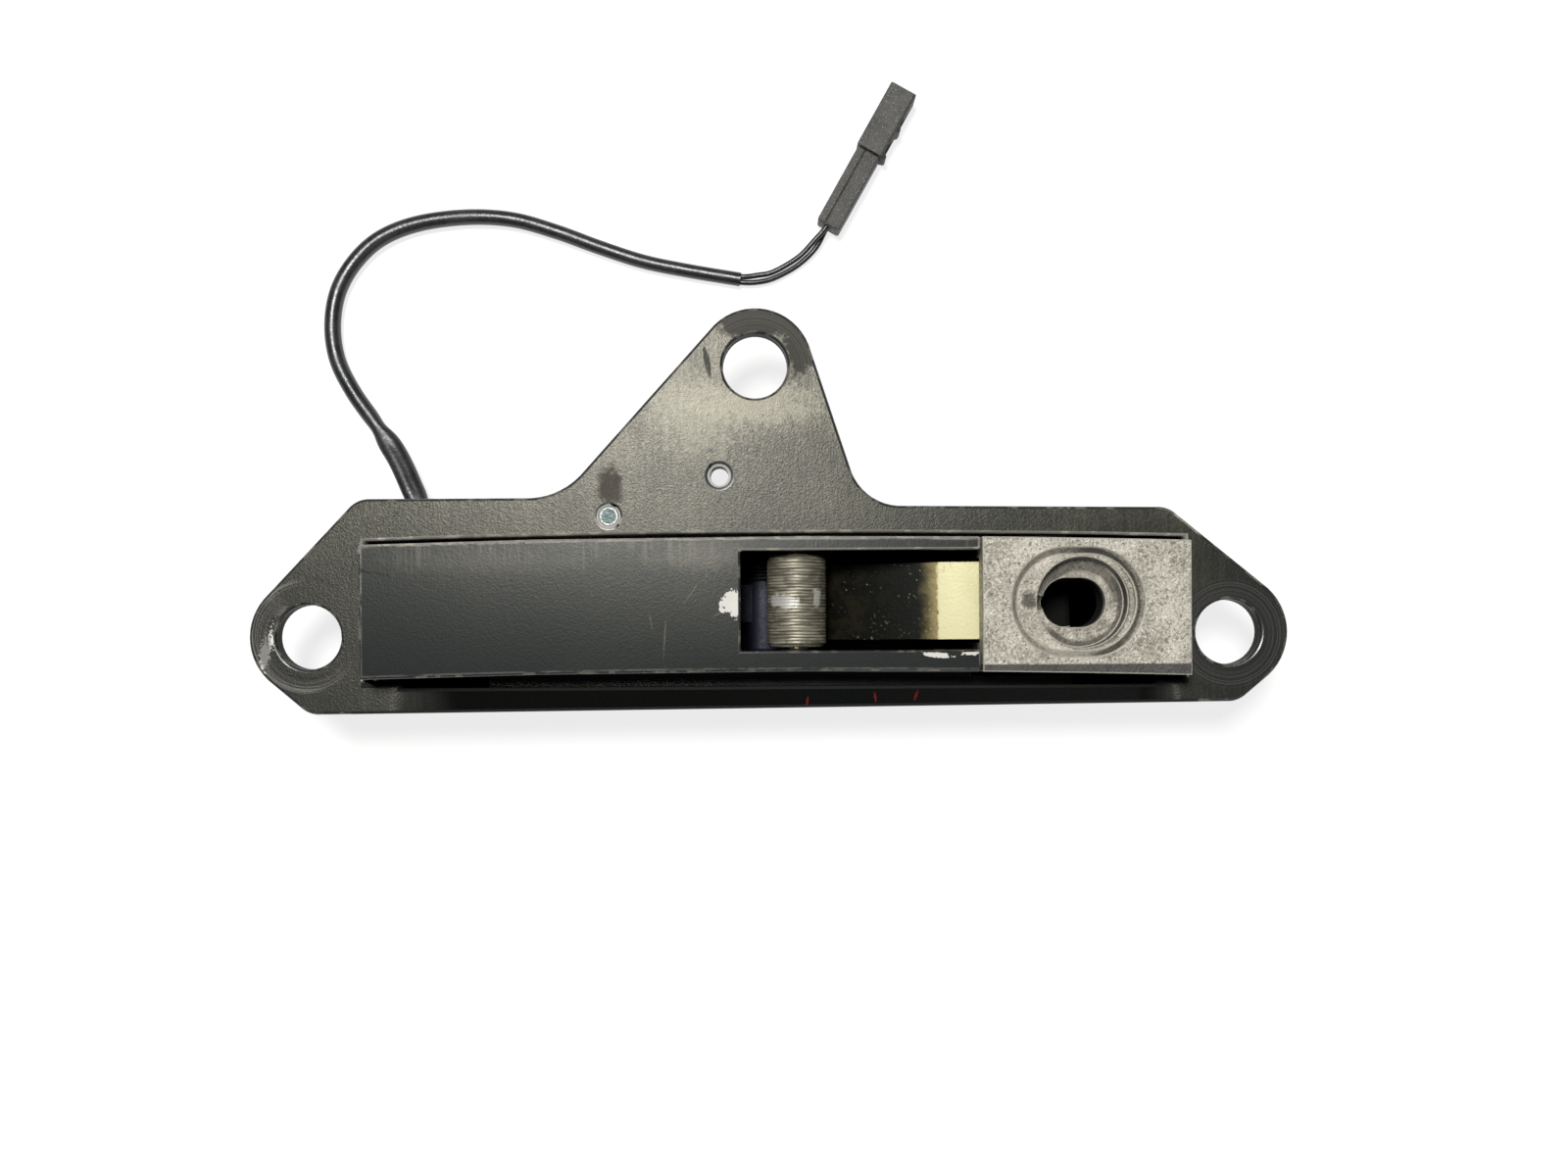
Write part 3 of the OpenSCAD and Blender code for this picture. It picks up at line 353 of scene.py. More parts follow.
# ---- Two wires
# The sleeve's two insulated wires come out of its open end side by side, cross the gap in a
# shallow curve and enter the connector one above the other.
WIRE_D = 0.0012
WIRE_A_ROUTE = [
    (-15, 79.6, 1.8), (-10, 78.8, 1.8), (-5.2, 78, 1.9), (-1.8, 78.3, 1.9), (1.8, 79, 2.1),
    (7.2, 82, 2.7), (10.8, 85.6, 3.2), (13.12, 88.13, 3.52), (14.7, 90.9, 3.52)]
WIRE_B_ROUTE = [
    (-15, 78.7, 1.2), (-10, 77.9, 1.2), (-5.5, 77, 1.2), (-1.8, 77, 1.2), (1.9, 77.9, 1.1),
    (6.9, 80.6, 1.0), (10.8, 84.1, 1.5), (13.12, 88.13, 2.08), (14.7, 90.9, 2.08)]
wire_skin = plastic("wire_skin", (0.008, 0.008, 0.01, 1), (0.018, 0.018, 0.02, 1), 0.34, 2500.0, 0.00002,
                    Specular_IOR_Level=0.5)
for name, route in (("wire_a", WIRE_A_ROUTE), ("wire_b", WIRE_B_ROUTE)):
    line = through(route, 8)
    curve = bpy.data.curves.new(name + "_strand", "CURVE")
    curve.dimensions = "3D"
    curve.bevel_depth = WIRE_D / 2
    curve.bevel_resolution = 5
    curve.use_fill_caps = True
    spline = curve.splines.new("POLY")
    spline.points.add(len(line) - 1)
    spline.points.foreach_set("co", np.hstack([line, np.ones((len(line), 1))]).ravel())
    curve.materials.append(wire_skin)
    strand = bpy.data.objects.new(name + "_strand", curve)
    bpy.context.collection.objects.link(strand)
    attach(strand, "strike_body")
    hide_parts(name)

# ---- Floor and lights
# A plain white table that is lit from within, so that shadows on it stay pale, one large soft lamp
# above the lug and a little to the left, and weak light from the room.
floor_finish, tree, shader, place = material("table_white", Emission_Strength=0.8, Specular_IOR_Level=0.2,
                                              Emission_Color=(1, 1, 1, 1))
paper = cloud(tree, place, 60.0, 4.0)
tree.links.new(blend(tree, paper, (0.24, 0.24, 0.24, 1), (0.27, 0.27, 0.27, 1)), shader.inputs["Base Color"])
tree.links.new(between(tree, paper, 0.7, 0.8), shader.inputs["Roughness"])
mesh = bpy.data.meshes.new("table")
mesh.from_pydata([(-1.5, -1.5, -0.0003), (1.5, -1.5, -0.0003), (1.5, 1.5, -0.0003), (-1.5, 1.5, -0.0003)],
                 [], [(0, 1, 2, 3)])
mesh.materials.append(floor_finish)
table = bpy.data.objects.new("table", mesh)
bpy.context.collection.objects.link(table)


def lamp(name, location, target, size, watts, colour=(1, 1, 1)):
    """A square soft lamp of one size, turned towards a target."""
    data = bpy.data.lights.new(name, "AREA")
    data.size = size
    data.energy = watts
    data.color = colour
    made = bpy.data.objects.new(name, data)
    made.location = location
    aim = np.array(target) - np.array(location)
    down, round_about = math.acos(-aim[2] / np.linalg.norm(aim)), math.atan2(aim[1], aim[0])
    made.rotation_euler = (down, 0, round_about - math.pi / 2)
    bpy.context.collection.objects.link(made)
    return made


lamp("top_lamp", (-0.10, 0.20, 0.75), (0, 0, 0.02), 0.18, 6.8, (1.0, 0.985, 0.95))
lamp("far_lamp", (0.35, -0.55, 0.65), (0, 0, 0.02), 0.5, 0.5, (0.9, 0.95, 1.0))
world = bpy.data.worlds.new("room")
world.use_nodes = True
world.node_tree.nodes["Background"].inputs["Color"].default_value = (0.9, 0.95, 1.0, 1)
world.node_tree.nodes["Background"].inputs["Strength"].default_value = 0.06
bpy.context.scene.world = world

# ---- Mounting plate
# A 4 mm steel plate with three eyes, coated black. Washers have scraped rings round the eyes, and
# years of handling have worn the coat to an olive grey. Painted light makes the wear and the bright flecks
# grow towards the top, and the strip below the bar is painted black as the bar's shadow.
coat, c_in, c_out = effect("worn_coat", {"Grain per metre": ("Float", 2600.0),
                                         "Streak strength": ("Float", 0.5)},
                           ["Tone", "Height"])
c_place = node(coat, "TexCoord").outputs["Object"]
c_grain = cloud(coat, c_place, c_in["Grain per metre"], 2.0, 0.6)
c_patch = cloud(coat, c_place, 55.0, 4.0, 0.55)
c_drawn = node(coat, "Mapping", {"Vector": c_place, "Rotation": (0, 0, 0.12),
                                 "Scale": (1, 0.05, 1)}).outputs[0]
c_streak = cloud(coat, c_drawn, 1500.0, 2.0)
c_streak = calc(coat, "MULTIPLY", calc(coat, "SUBTRACT", c_streak, 0.3), c_in["Streak strength"])
c_tone = calc(coat, "MULTIPLY_ADD", c_patch, 0.5, calc(coat, "MULTIPLY_ADD", c_grain, 0.35, c_streak))
coat.links.new(c_tone, c_out.inputs["Tone"])
coat.links.new(c_grain, c_out.inputs["Height"])

# a ragged spot: a scrape, chip or smudge of given middle, half sizes and turn
spot, s_in, s_out = effect("ragged_spot", {"Middle": ("Vector", (0, 0, 0)),
                                           "Half size": ("Vector", (1, 1, 1)),
                                           "Turn": ("Float", 0.0), "Ragged": ("Float", 0.5),
                                           "Soft": ("Float", 0.1), "Scale": ("Float", 900.0)}, ["Mask"])
s_place = node(spot, "TexCoord").outputs["Object"]
s_off = node(spot, "VectorMath", {0: s_place, 1: s_in["Middle"]}, operation="SUBTRACT").outputs[0]
s_turned = node(spot, "VectorRotate", {"Vector": s_off, "Angle": s_in["Turn"]},
                rotation_type="Z_AXIS").outputs[0]
s_unit = node(spot, "VectorMath", {0: s_turned, 1: s_in["Half size"]}, operation="DIVIDE").outputs[0]
s_far = node(spot, "VectorMath", {0: s_unit}, operation="LENGTH").outputs["Value"]
s_noise = calc(spot, "SUBTRACT", cloud(spot, s_place, s_in["Scale"], 4.0, 0.65), 0.5)
s_noise = product(spot, s_noise, s_in["Ragged"], 3.0)
s_edge = calc(spot, "ADD", s_far, s_noise)
s_outer, s_inner = calc(spot, "ADD", 1.0, s_in["Soft"]), calc(spot, "SUBTRACT", 1.0, s_in["Soft"])
spot.links.new(step(spot, s_edge, s_outer, s_inner), s_out.inputs["Mask"])

# a washer's mark: fine circles about an eye, broken into arcs
ring, r_in, r_out = effect("washer_ring", {"Middle": ("Vector", (0, 0, 0)), "Radius": ("Float", 0.0109),
                                           "Width": ("Float", 0.001), "Broken": ("Float", 0.5),
                                           "Facing": ("Vector", (0, 0, 0)), "All round": ("Float", 1.0)},
                           ["Band", "Lines"])
r_place = node(ring, "TexCoord").outputs["Object"]
r_off = node(ring, "VectorMath", {0: r_place, 1: r_in["Middle"]}, operation="SUBTRACT").outputs[0]
r_flat = node(ring, "VectorMath", {0: r_off, 1: (1, 1, 0)}, operation="MULTIPLY").outputs[0]
r_far = node(ring, "VectorMath", {0: r_flat}, operation="LENGTH").outputs["Value"]
r_away = calc(ring, "ABSOLUTE", calc(ring, "SUBTRACT", r_far, r_in["Radius"]))
r_band = step(ring, r_away, r_in["Width"], calc(ring, "MULTIPLY", r_in["Width"], 0.4))
r_arc = step(ring, cloud(ring, r_place, 140.0, 3.0), calc(ring, "SUBTRACT", r_in["Broken"], 0.06),
             calc(ring, "ADD", r_in["Broken"], 0.06))
r_way = node(ring, "CombineXYZ", {0: calc(ring, "MULTIPLY", r_far, 9000.0), 1: 0.0, 2: 0.0}).outputs[0]
r_line = step(ring, cloud(ring, r_way, 1.0, 1.0), 0.52, 0.6)
r_way = node(ring, "VectorMath", {0: r_flat}, operation="NORMALIZE").outputs[0]
r_side = node(ring, "VectorMath", {0: r_way, 1: r_in["Facing"]}, operation="DOT_PRODUCT").outputs["Value"]
r_side = calc(ring, "MAXIMUM", step(ring, r_side, -0.25, 0.25), r_in["All round"])
ring.links.new(product(ring, r_band, r_arc, r_side), r_out.inputs["Band"])
ring.links.new(product(ring, r_line, r_band, r_side), r_out.inputs["Lines"])
PLATE_FRONT, BAR_FRONT = 0.024, 0.032


def marked(tree, under, colour, share, middle, half, turn=0.0, **values):
    """Lays one ragged spot of a colour over what is under it; places and sizes in millimetres."""
    mask = stamp(tree, spot, Middle=mm(*middle, PLATE_FRONT * 1000),
                 Half_size=(half[0] / 1000, half[1] / 1000, 0.5), Turn=math.radians(turn), **values)["Mask"]
    mask = calc(tree, "MULTIPLY", mask, share)
    return blend(tree, mask, under, colour), mask


def scraped(tree, under, colour, share, middle, radius, width, broken, of="Band", facing=(0, 0, 0)):
    """Lays one washer ring of a colour over what is under it; places and sizes in millimetres.
    Where facing is given, only the half of the ring on that side is laid."""
    mask = stamp(tree, ring, Middle=mm(*middle, PLATE_FRONT * 1000), Radius=radius / 1000, Width=width / 1000,
                 Broken=broken, Facing=facing, All_round=0.0 if any(facing) else 1.0)[of]
    mask = calc(tree, "MULTIPLY", mask, share)
    return blend(tree, mask, under, colour), mask


COAT_DARK = (0.016, 0.018, 0.017, 1)
COAT_WORN = (0.088, 0.084, 0.062, 1)
BARE = (0.42, 0.41, 0.38, 1)
SOOT = (0.006, 0.006, 0.007, 1)

plate_coat, tree, shader, place = material("plate_coat", Specular_IOR_Level=0.33,
                                           Specular_Tint=(1.0, 0.975, 0.87, 1))
grain = stamp(tree, coat, Grain_per_metre=2600.0, Streak_strength=0.35)
part = node(tree, "SeparateXYZ", {0: place})
px, py, pz = part.outputs[0], part.outputs[1], part.outputs[2]
wear_and_top_light = step(tree, grain["Tone"], 0.38, 0.68)
# painted light: the wear is made lighter towards the top of the plate, where the lamp falls
up = step(tree, py, EYE_LINE_Y + 0.006, EYE_LINE_Y + 0.048)
wear_and_top_light = calc(tree, "MULTIPLY", wear_and_top_light, between(tree, up, 0.35, 1.0))
tone = blend(tree, wear_and_top_light, COAT_DARK, COAT_WORN)
# painted glints: bright flecks, only towards the top and the left, where the lamp falls
painted_glints = step(tree, cloud(tree, place, 2100.0, 2.0, 0.7), 0.50, 0.66)
painted_glints = product(tree, painted_glints, up, between(tree, step(tree, px, 0.02, -0.02), 0.45, 1.0))
tone = blend(tree, calc(tree, "MULTIPLY", painted_glints, 0.6), tone, (0.30, 0.285, 0.225, 1))
dull = 0.0
for colour, share, middle, half, turn, ragged, soft, cells in (
        # the cap over the top eye and its right foot, a short scratch, a smudge by the locked screw
        ((0.022, 0.021, 0.020, 1), 0.95, (0.2, 65.2), (10.6, 5.3), -16, 0.28, 0.12, 420.0),
        ((0.022, 0.020, 0.018, 1), 0.95, (7.2, 58.6), (3.5, 6.6), 8, 0.45, 0.12, 520.0),
        (SOOT, 0.8, (-12.0, 54.8), (0.55, 3.0), -12, 0.45, 0.2, 700.0),
        ((0.028, 0.020, 0.018, 1), 0.8, (-31.7, 29.9), (2.3, 3.5), 0, 0.6, 0.35, 600.0),
        # coat worn bright under the top eye, bare ticks and a rubbed patch at the left eye
        ((0.36, 0.34, 0.265, 1), 0.6, (-3.0, 46.5), (11.5, 4.2), 0, 1.0, 0.6, 900.0),
        ((0.30, 0.285, 0.225, 1), 0.5, (-15.5, 45.0), (6.0, 9.0), -40, 1.0, 0.6, 700.0),
        ((0.8, 0.79, 0.75, 1), 0.95, (-101.1, -3.0), (1.0, 4.4), 12, 1.3, 0.1, 1900.0),
        ((0.16, 0.15, 0.13, 1), 0.5, (-99.0, 6.5), (1.6, 4.0), -35, 1.2, 0.2, 1800.0)):
    tone, mark = marked(tree, tone, colour, share, middle, half, turn, Ragged=ragged, Soft=soft, Scale=cells)
    if colour[0] < 0.05:
        dull = calc(tree, "MAXIMUM", mark, dull)
for colour, share, middle, radius, width, broken, of, facing in (
        ((0.022, 0.023, 0.025, 1), 0.75, (-92.5, 0), 9.4, 2.2, 0.3, "Band", (-0.9, -0.3, 0)),
        (BARE, 0.75, (-92.9, 0.3), 10.9, 0.9, 0.5, "Lines", (-0.95, -0.2, 0)),
        ((0.20, 0.19, 0.17, 1), 0.6, (-92.6, -0.4), 9.6, 1.5, 0.5, "Lines", (-0.6, -0.7, 0)),
        (SOOT, 0.8, (-92.9, 0.2), 11.6, 0.35, 0.45, "Band", (-0.8, 0.5, 0)),
        (SOOT, 0.7, (-92.7, -0.2), 8.1, 0.3, 0.5, "Band", (-0.5, -0.8, 0)),
        ((0.018, 0.018, 0.02, 1), 0.75, (92.5, 0), 8.9, 2.4, 0.25, "Band", (0, 0, 0)),
        ((0.16, 0.155, 0.14, 1), 0.5, (92.7, -0.3), 9.3, 2.0, 0.4, "Lines", (0, 0, 0)),
        ((0.13, 0.125, 0.11, 1), 0.55, (-2.4, 53.0), 12.0, 4.5, 0.5, "Lines", (0.35, 0.94, 0))):
    tone, _ = scraped(tree, tone, colour, share, middle, radius, width, broken, of, facing)
# bright rims of the tapped hole and the locked screw, the painted shadow of the bar on the strip below it,
# and the bare black of the plate's walls and of the part that lies under the block
for middle, radius, colour in (((-9.7, 32), 1.95, (0.66, 0.65, 0.62, 1)),
                               ((-32, 24), 2.05, (0.4, 0.4, 0.38, 1))):
    tone, _ = scraped(tree, tone, colour, 0.95, middle, radius, 0.33, 0.1)
# painted shadow: the strip of plate below the bar is coloured near black, as the bar's shadow
painted_bar_shadow = product(tree, step(tree, py, EYE_LINE_Y - 0.0050, EYE_LINE_Y - 0.0060),
              step(tree, px, -0.0765, -0.0620), step(tree, px, 0.0830, 0.0740))
tone = blend(tree, calc(tree, "MULTIPLY", painted_bar_shadow, 0.95), tone, (0.0015, 0.0022, 0.002, 1))
tone, mark = marked(tree, tone, SOOT, 1.0, (62.2, 5.8), (10.0, 8.5), 0, Ragged=0.0, Soft=0.05)
walls = calc(tree, "MAXIMUM", mark, step(tree, pz, PLATE_FRONT - 0.0006, PLATE_FRONT - 0.0010))
tone = blend(tree, walls, tone, (0.003, 0.003, 0.003, 1))
dull = calc(tree, "MAXIMUM", walls, dull)
# three plain dashes of red crayon near the lower edge
for middle, turn in (((7.7, -13.7), 10), ((21.4, -12.7), -8), ((29.6, -12.4), 20)):
    tone, _ = marked(tree, tone, (0.20, 0.012, 0.012, 1), 0.9, middle, (0.22, 1.0), turn,
                     Ragged=0.5, Soft=0.2, Scale=1500.0)
tree.links.new(tone, shader.inputs["Base Color"])
gloss = between(tree, dull, between(tree, wear_and_top_light, 0.35, 0.30), 0.62)
tree.links.new(between(tree, painted_bar_shadow, gloss, 0.34), shader.inputs["Roughness"])
LEE_SLOPE = 0.55
hang = product(tree, calc(tree, "SUBTRACT", py, EYE_LINE_Y - 0.005), LEE_SLOPE, painted_bar_shadow)
raise_surface(tree, shader, calc(tree, "MULTIPLY_ADD", grain["Height"], 0.00006, hang), 1.0)

# the eased edges: rubbed and given a painted highlight along the top of the bar and its slot, painted black
# as shadow along the bottom of the slot
coat_lip, tree, shader, place = material("coat_lip", Specular_IOR_Level=0.8)
part = node(tree, "SeparateXYZ", {0: place})
px, py = part.outputs[0], part.outputs[1]
rubbed = step(tree, cloud(tree, place, 320.0, 4.0, 0.65), 0.5, 0.62)
tone = blend(tree, rubbed, (0.02, 0.021, 0.021, 1), (0.12, 0.117, 0.10, 1))
inner = span(tree, px, -0.0840, 0.0865, 0.0005)
# rubbed coat and painted highlight on the upper edges, which face the lamp
rubbed_and_highlit_edge = product(tree, inner, span(tree, py, EYE_LINE_Y + 0.01625, EYE_LINE_Y + 0.02375, 0.00025),
                 between(tree, rubbed, 0.45, 0.8))
tone = blend(tree, rubbed_and_highlit_edge, tone, (0.42, 0.40, 0.35, 1))
# painted shadow: the eased edge along the bottom of the slot is coloured near black and made fully rough
low = product(tree, inner, step(tree, py, EYE_LINE_Y - 0.0086, EYE_LINE_Y - 0.0094))
tone = blend(tree, low, tone, (0.001, 0.001, 0.001, 1))
for middle in ((-32, 24), (-9.7, 32)):
    tone, _ = scraped(tree, tone, (0.78, 0.78, 0.75, 1), 0.9, middle, 1.95, 0.55, 0.0)
tree.links.new(tone, shader.inputs["Base Color"])
tree.links.new(between(tree, low, between(tree, rubbed, 0.32, 0.25), 1.0), shader.inputs["Roughness"])


def softened(name, width, finish, lip, body, angle=30):
    """A copy of a CAD piece with its edges eased: its triangles are merged into flat faces, and a
    three-step round of the given width in metres runs along every edge sharper than the angle."""
    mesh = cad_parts[name].data.copy()
    mesh.name = name + "_eased"
    b = bmesh.new()
    b.from_mesh(mesh)
    bmesh.ops.remove_doubles(b, verts=b.verts, dist=2e-6)
    bmesh.ops.dissolve_limit(b, angle_limit=math.radians(0.6), verts=b.verts, edges=b.edges)
    b.to_mesh(mesh)
    b.free()
    if "custom_normal" in mesh.attributes:
        mesh.attributes.remove(mesh.attributes["custom_normal"])
    mesh.materials.clear()
    mesh.materials.append(finish)
    mesh.materials.append(lip)
    mesh.polygons.foreach_set("material_index", np.zeros(len(mesh.polygons), np.int32))
    mesh.polygons.foreach_set("use_smooth", np.ones(len(mesh.polygons), bool))
    mesh.set_sharp_from_angle(angle=math.radians(angle))
    piece = bpy.data.objects.new(name + "_eased", mesh)
    bpy.context.collection.objects.link(piece)
    eased = piece.modifiers.new("eased", "BEVEL")
    eased.width = width
    eased.segments = 3
    eased.limit_method = "ANGLE"
    eased.angle_limit = math.radians(angle)
    eased.material = 1
    eased.use_clamp_overlap = False
    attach(piece, body)
    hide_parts(name)
    return piece


softened("mounting_plate", 0.0006, plate_coat, coat_lip, "strike_body")

# ---- Screws at the lug
# The thread-locked screw's end shows teal paint in a bright ring.
teal_end, tree, shader, place = material("teal_end", Roughness=0.35)
flecks = cloud(tree, place, 2200.0, 3.0)
teal = blend(tree, step(tree, flecks, 0.42, 0.6), (0.012, 0.055, 0.06, 1), (0.11, 0.21, 0.21, 1))
middle = node(tree, "VectorMath", {0: place, 1: mm(-32, 24, 22)}, operation="SUBTRACT").outputs[0]
middle = node(tree, "VectorMath", {0: middle, 1: (1, 1, 0)}, operation="MULTIPLY").outputs[0]
out = step(tree, node(tree, "VectorMath", {0: middle}, operation="LENGTH").outputs["Value"], 0.00155, 0.00165)
tree.links.new(blend(tree, out, teal, (0.72, 0.72, 0.70, 1)), shader.inputs["Base Color"])
tree.links.new(calc(tree, "MULTIPLY", out, 0.5), shader.inputs["Metallic"])
raise_surface(tree, shader, flecks, 0.00015)
softened("locked_screw", 0.0001, teal_end, teal_end, "strike_body")

# ---- Housing bar
# A cast bar with a bowed plan, coated black like the plate and slightly crowned across, with the
# latch window cut through it. White chips lie beside the window and dark scratches at the far end.
BAR_X0, BAR_X1, BAR_LOW, BAR_WIDE, BAR_BOW = -0.0801, 0.0826, -0.0084, 0.0264, 0.0012
bar_coat, tree, shader, place = material("bar_coat", Specular_IOR_Level=0.2,
                                         Specular_Tint=(1.0, 0.985, 0.92, 1))
grain = stamp(tree, coat, Grain_per_metre=2200.0, Streak_strength=0.25)
part = node(tree, "SeparateXYZ", {0: place})
px, py, pz = part.outputs[0], part.outputs[1], part.outputs[2]
along = calc(tree, "DIVIDE", calc(tree, "SUBTRACT", px, (BAR_X0 + BAR_X1) / 2), (BAR_X1 - BAR_X0) / 2)
bow = calc(tree, "MULTIPLY", calc(tree, "SUBTRACT", 1.0, calc(tree, "MULTIPLY", along, along)), BAR_BOW)
from_low = calc(tree, "SUBTRACT", calc(tree, "SUBTRACT", py, EYE_LINE_Y + BAR_LOW), bow)
from_top = calc(tree, "SUBTRACT", BAR_WIDE, from_low)
from_end = calc(tree, "MINIMUM", calc(tree, "SUBTRACT", px, BAR_X0), calc(tree, "SUBTRACT", BAR_X1, px))
from_edge = calc(tree, "MINIMUM", from_end, calc(tree, "MINIMUM", from_low, from_top))
wear_and_top_light = step(tree, grain["Tone"], 0.42, 0.75)
# painted shade: the wear fades towards the bar's bottom edge, so the bar is darker there and lighter at its
# top
wear_and_top_light = calc(tree, "MULTIPLY", wear_and_top_light, between(tree, step(tree, from_low, 0.004, 0.022), 0.35, 1.0))
tone = blend(tree, wear_and_top_light, (0.014, 0.018, 0.018, 1), (0.036, 0.036, 0.033, 1))
for middle, half, share in (((-14, 3.5), (17, 6.0), 0.04), ((-13, 15.0), (8, 2.2), 0.35),
                            ((-55, 14.6), (16, 2.0), 0.2)):
    tone, _ = marked(tree, tone, (0.15, 0.14, 0.115, 1), share, middle, half,
                     Ragged=1.0, Soft=0.8, Scale=800.0)
# short rub marks across the bar's upper edge, then the thin line just inside its outline: rubbed coat with a
# painted edge highlight, brighter towards the top
drawn = node(tree, "Mapping", {"Vector": place, "Scale": (1, 0.05, 1)}).outputs[0]
rub = step(tree, cloud(tree, drawn, 1400.0, 2.0, 0.6), 0.50, 0.66)
rub = product(tree, rub, step(tree, from_top, 0.0085, 0.0015),
              step(tree, cloud(tree, place, 90.0, 2.0), 0.42, 0.6))
tone = blend(tree, calc(tree, "MULTIPLY", rub, 0.3), tone, (0.17, 0.165, 0.14, 1))
# painted highlight along the outline, partly rubbed coat, brighter towards the top of the bar
lip = product(tree, step(tree, from_edge, 0.00034, 0.00046), step(tree, from_edge, 0.00085, 0.0006),
              step(tree, cloud(tree, place, 260.0, 4.0, 0.6), 0.36, 0.56),
              between(tree, step(tree, from_low, 0.004, 0.016), 0.35, 0.8))
tone = blend(tree, lip, tone, (0.20, 0.195, 0.175, 1))
for middle, half, turn in (((-76.6, 12.4), (3.0, 0.22), 8), ((-78.9, 12.9), (0.8, 0.35), 30),
                           ((-74.4, 11.9), (0.9, 0.16), 20)):
    tone, _ = marked(tree, tone, SOOT, 0.95, middle, half, turn, Ragged=0.5, Soft=0.2, Scale=1300.0)
for middle, half, turn in (((-20.3, -0.5), (0.16, 3.6), 4), ((-23.0, 2.8), (0.12, 2.0), -10),
                           ((-9.6, 4.2), (0.14, 1.6), 60), ((-15.2, 8.0), (0.12, 2.2), 35)):
    tone, _ = marked(tree, tone, (0.12, 0.11, 0.09, 1), 0.55, middle, half, turn,
                     Ragged=0.6, Soft=0.3, Scale=1600.0)
chips = 0.0
for middle, half, turn, ragged in (((-7.4, 6.6), (1.7, 2.6), 38, 0.714), ((-6.5, 5.1), (1.0, 2.0), 0, 0.68),
                                   ((33.0, -4.2), (2.9, 0.55), 6, 0.765),
                                   ((39.6, -3.85), (1.9, 0.45), -4, 0.765)):
    tone, chip = marked(tree, tone, (0.66, 0.65, 0.61, 1), 0.97, middle, half, turn,
                        Ragged=ragged, Soft=0.04, Scale=1000.0)
    chips = calc(tree, "MAXIMUM", chip, chips)
# painted shade: the window's inner walls and floor are coloured dark navy
inside = product(tree, step(tree, pz, BAR_FRONT - 0.0015, BAR_FRONT - 0.0035),
                 span(tree, px, -0.0073, 0.0430, 0.0005),
                 span(tree, py, EYE_LINE_Y - 0.0065, EYE_LINE_Y + 0.0164, 0.0005))
tone = blend(tree, calc(tree, "MULTIPLY", inside, 0.9), tone, (0.006, 0.009, 0.024, 1))
tree.links.new(tone, shader.inputs["Base Color"])
tree.links.new(between(tree, chips, between(tree, wear_and_top_light, 0.36, 0.32), 0.8), shader.inputs["Roughness"])
CROWN = -2.1
crown = calc(tree, "SUBTRACT", py, EYE_LINE_Y + 0.0085)
crown = product(tree, crown, crown, CROWN)
skin_height = calc(tree, "MULTIPLY_ADD", grain["Height"], 0.00003, crown)
skin_height = calc(tree, "MULTIPLY_ADD", chips, 0.00012, skin_height)
raise_surface(tree, shader, skin_height, 1.0)
softened("housing", 0.00045, bar_coat, coat_lip, "strike_body")

# ---- End block
# Bead-blasted steel block let into the bar's end, with an oval funnel, a round step and an oval
# bore for the door's stud. Its long edges keep a stripe of the bar's black coat.
blasted, tree, shader, place = material("blasted_steel", Specular_IOR_Level=0.5)
part = node(tree, "SeparateXYZ", {0: place})
py, pz = part.outputs[1], part.outputs[2]
peen = cloud(tree, place, 1900.0, 3.0, 0.7)
patch = cloud(tree, place, 160.0, 4.0, 0.6)
speck = step(tree, cloud(tree, place, 1800.0, 3.0, 0.7), 0.55, 0.68)
soft_grain = calc(tree, "MULTIPLY_ADD", peen, 0.6, calc(tree, "MULTIPLY", patch, 0.4))
tone = blend(tree, step(tree, soft_grain, 0.36, 0.62), (0.25, 0.235, 0.19, 1), (0.62, 0.59, 0.51, 1))
tone = blend(tree, calc(tree, "MULTIPLY", speck, 0.8), tone, (0.88, 0.86, 0.79, 1))
pit = step(tree, cloud(tree, place, 1350.0, 3.0, 0.7), 0.53, 0.66)
tone = blend(tree, calc(tree, "MULTIPLY", pit, 0.75), tone, (0.12, 0.11, 0.09, 1))
stripe = calc(tree, "MAXIMUM", step(tree, py, EYE_LINE_Y - 0.0059, EYE_LINE_Y - 0.0063),
              step(tree, py, EYE_LINE_Y + 0.0184, EYE_LINE_Y + 0.0188))
tone = blend(tree, calc(tree, "MULTIPLY", stripe, 0.9), tone, (0.022, 0.02, 0.023, 1))
depth = step(tree, pz, 0.0319, 0.0270)
stain = calc(tree, "MULTIPLY", depth, step(tree, cloud(tree, place, 330.0, 4.0, 0.6), 0.40, 0.6))
tone = blend(tree, calc(tree, "MULTIPLY", stain, 0.5), tone, (0.11, 0.095, 0.07, 1))
# painted shade darkens the upper and the right-hand side of the round step
for radius, width, facing in ((7.6, 1.5, (-0.1, 0.95, 0)), (8.3, 1.2, (0.55, -0.75, 0)),
                              (10.4, 0.7, (0.95, 0.1, 0))):
    tone, _ = scraped(tree, tone, (0.045, 0.04, 0.033, 1), 0.75, (62.0, 5.8), radius, width, 0.3,
                      facing=facing)
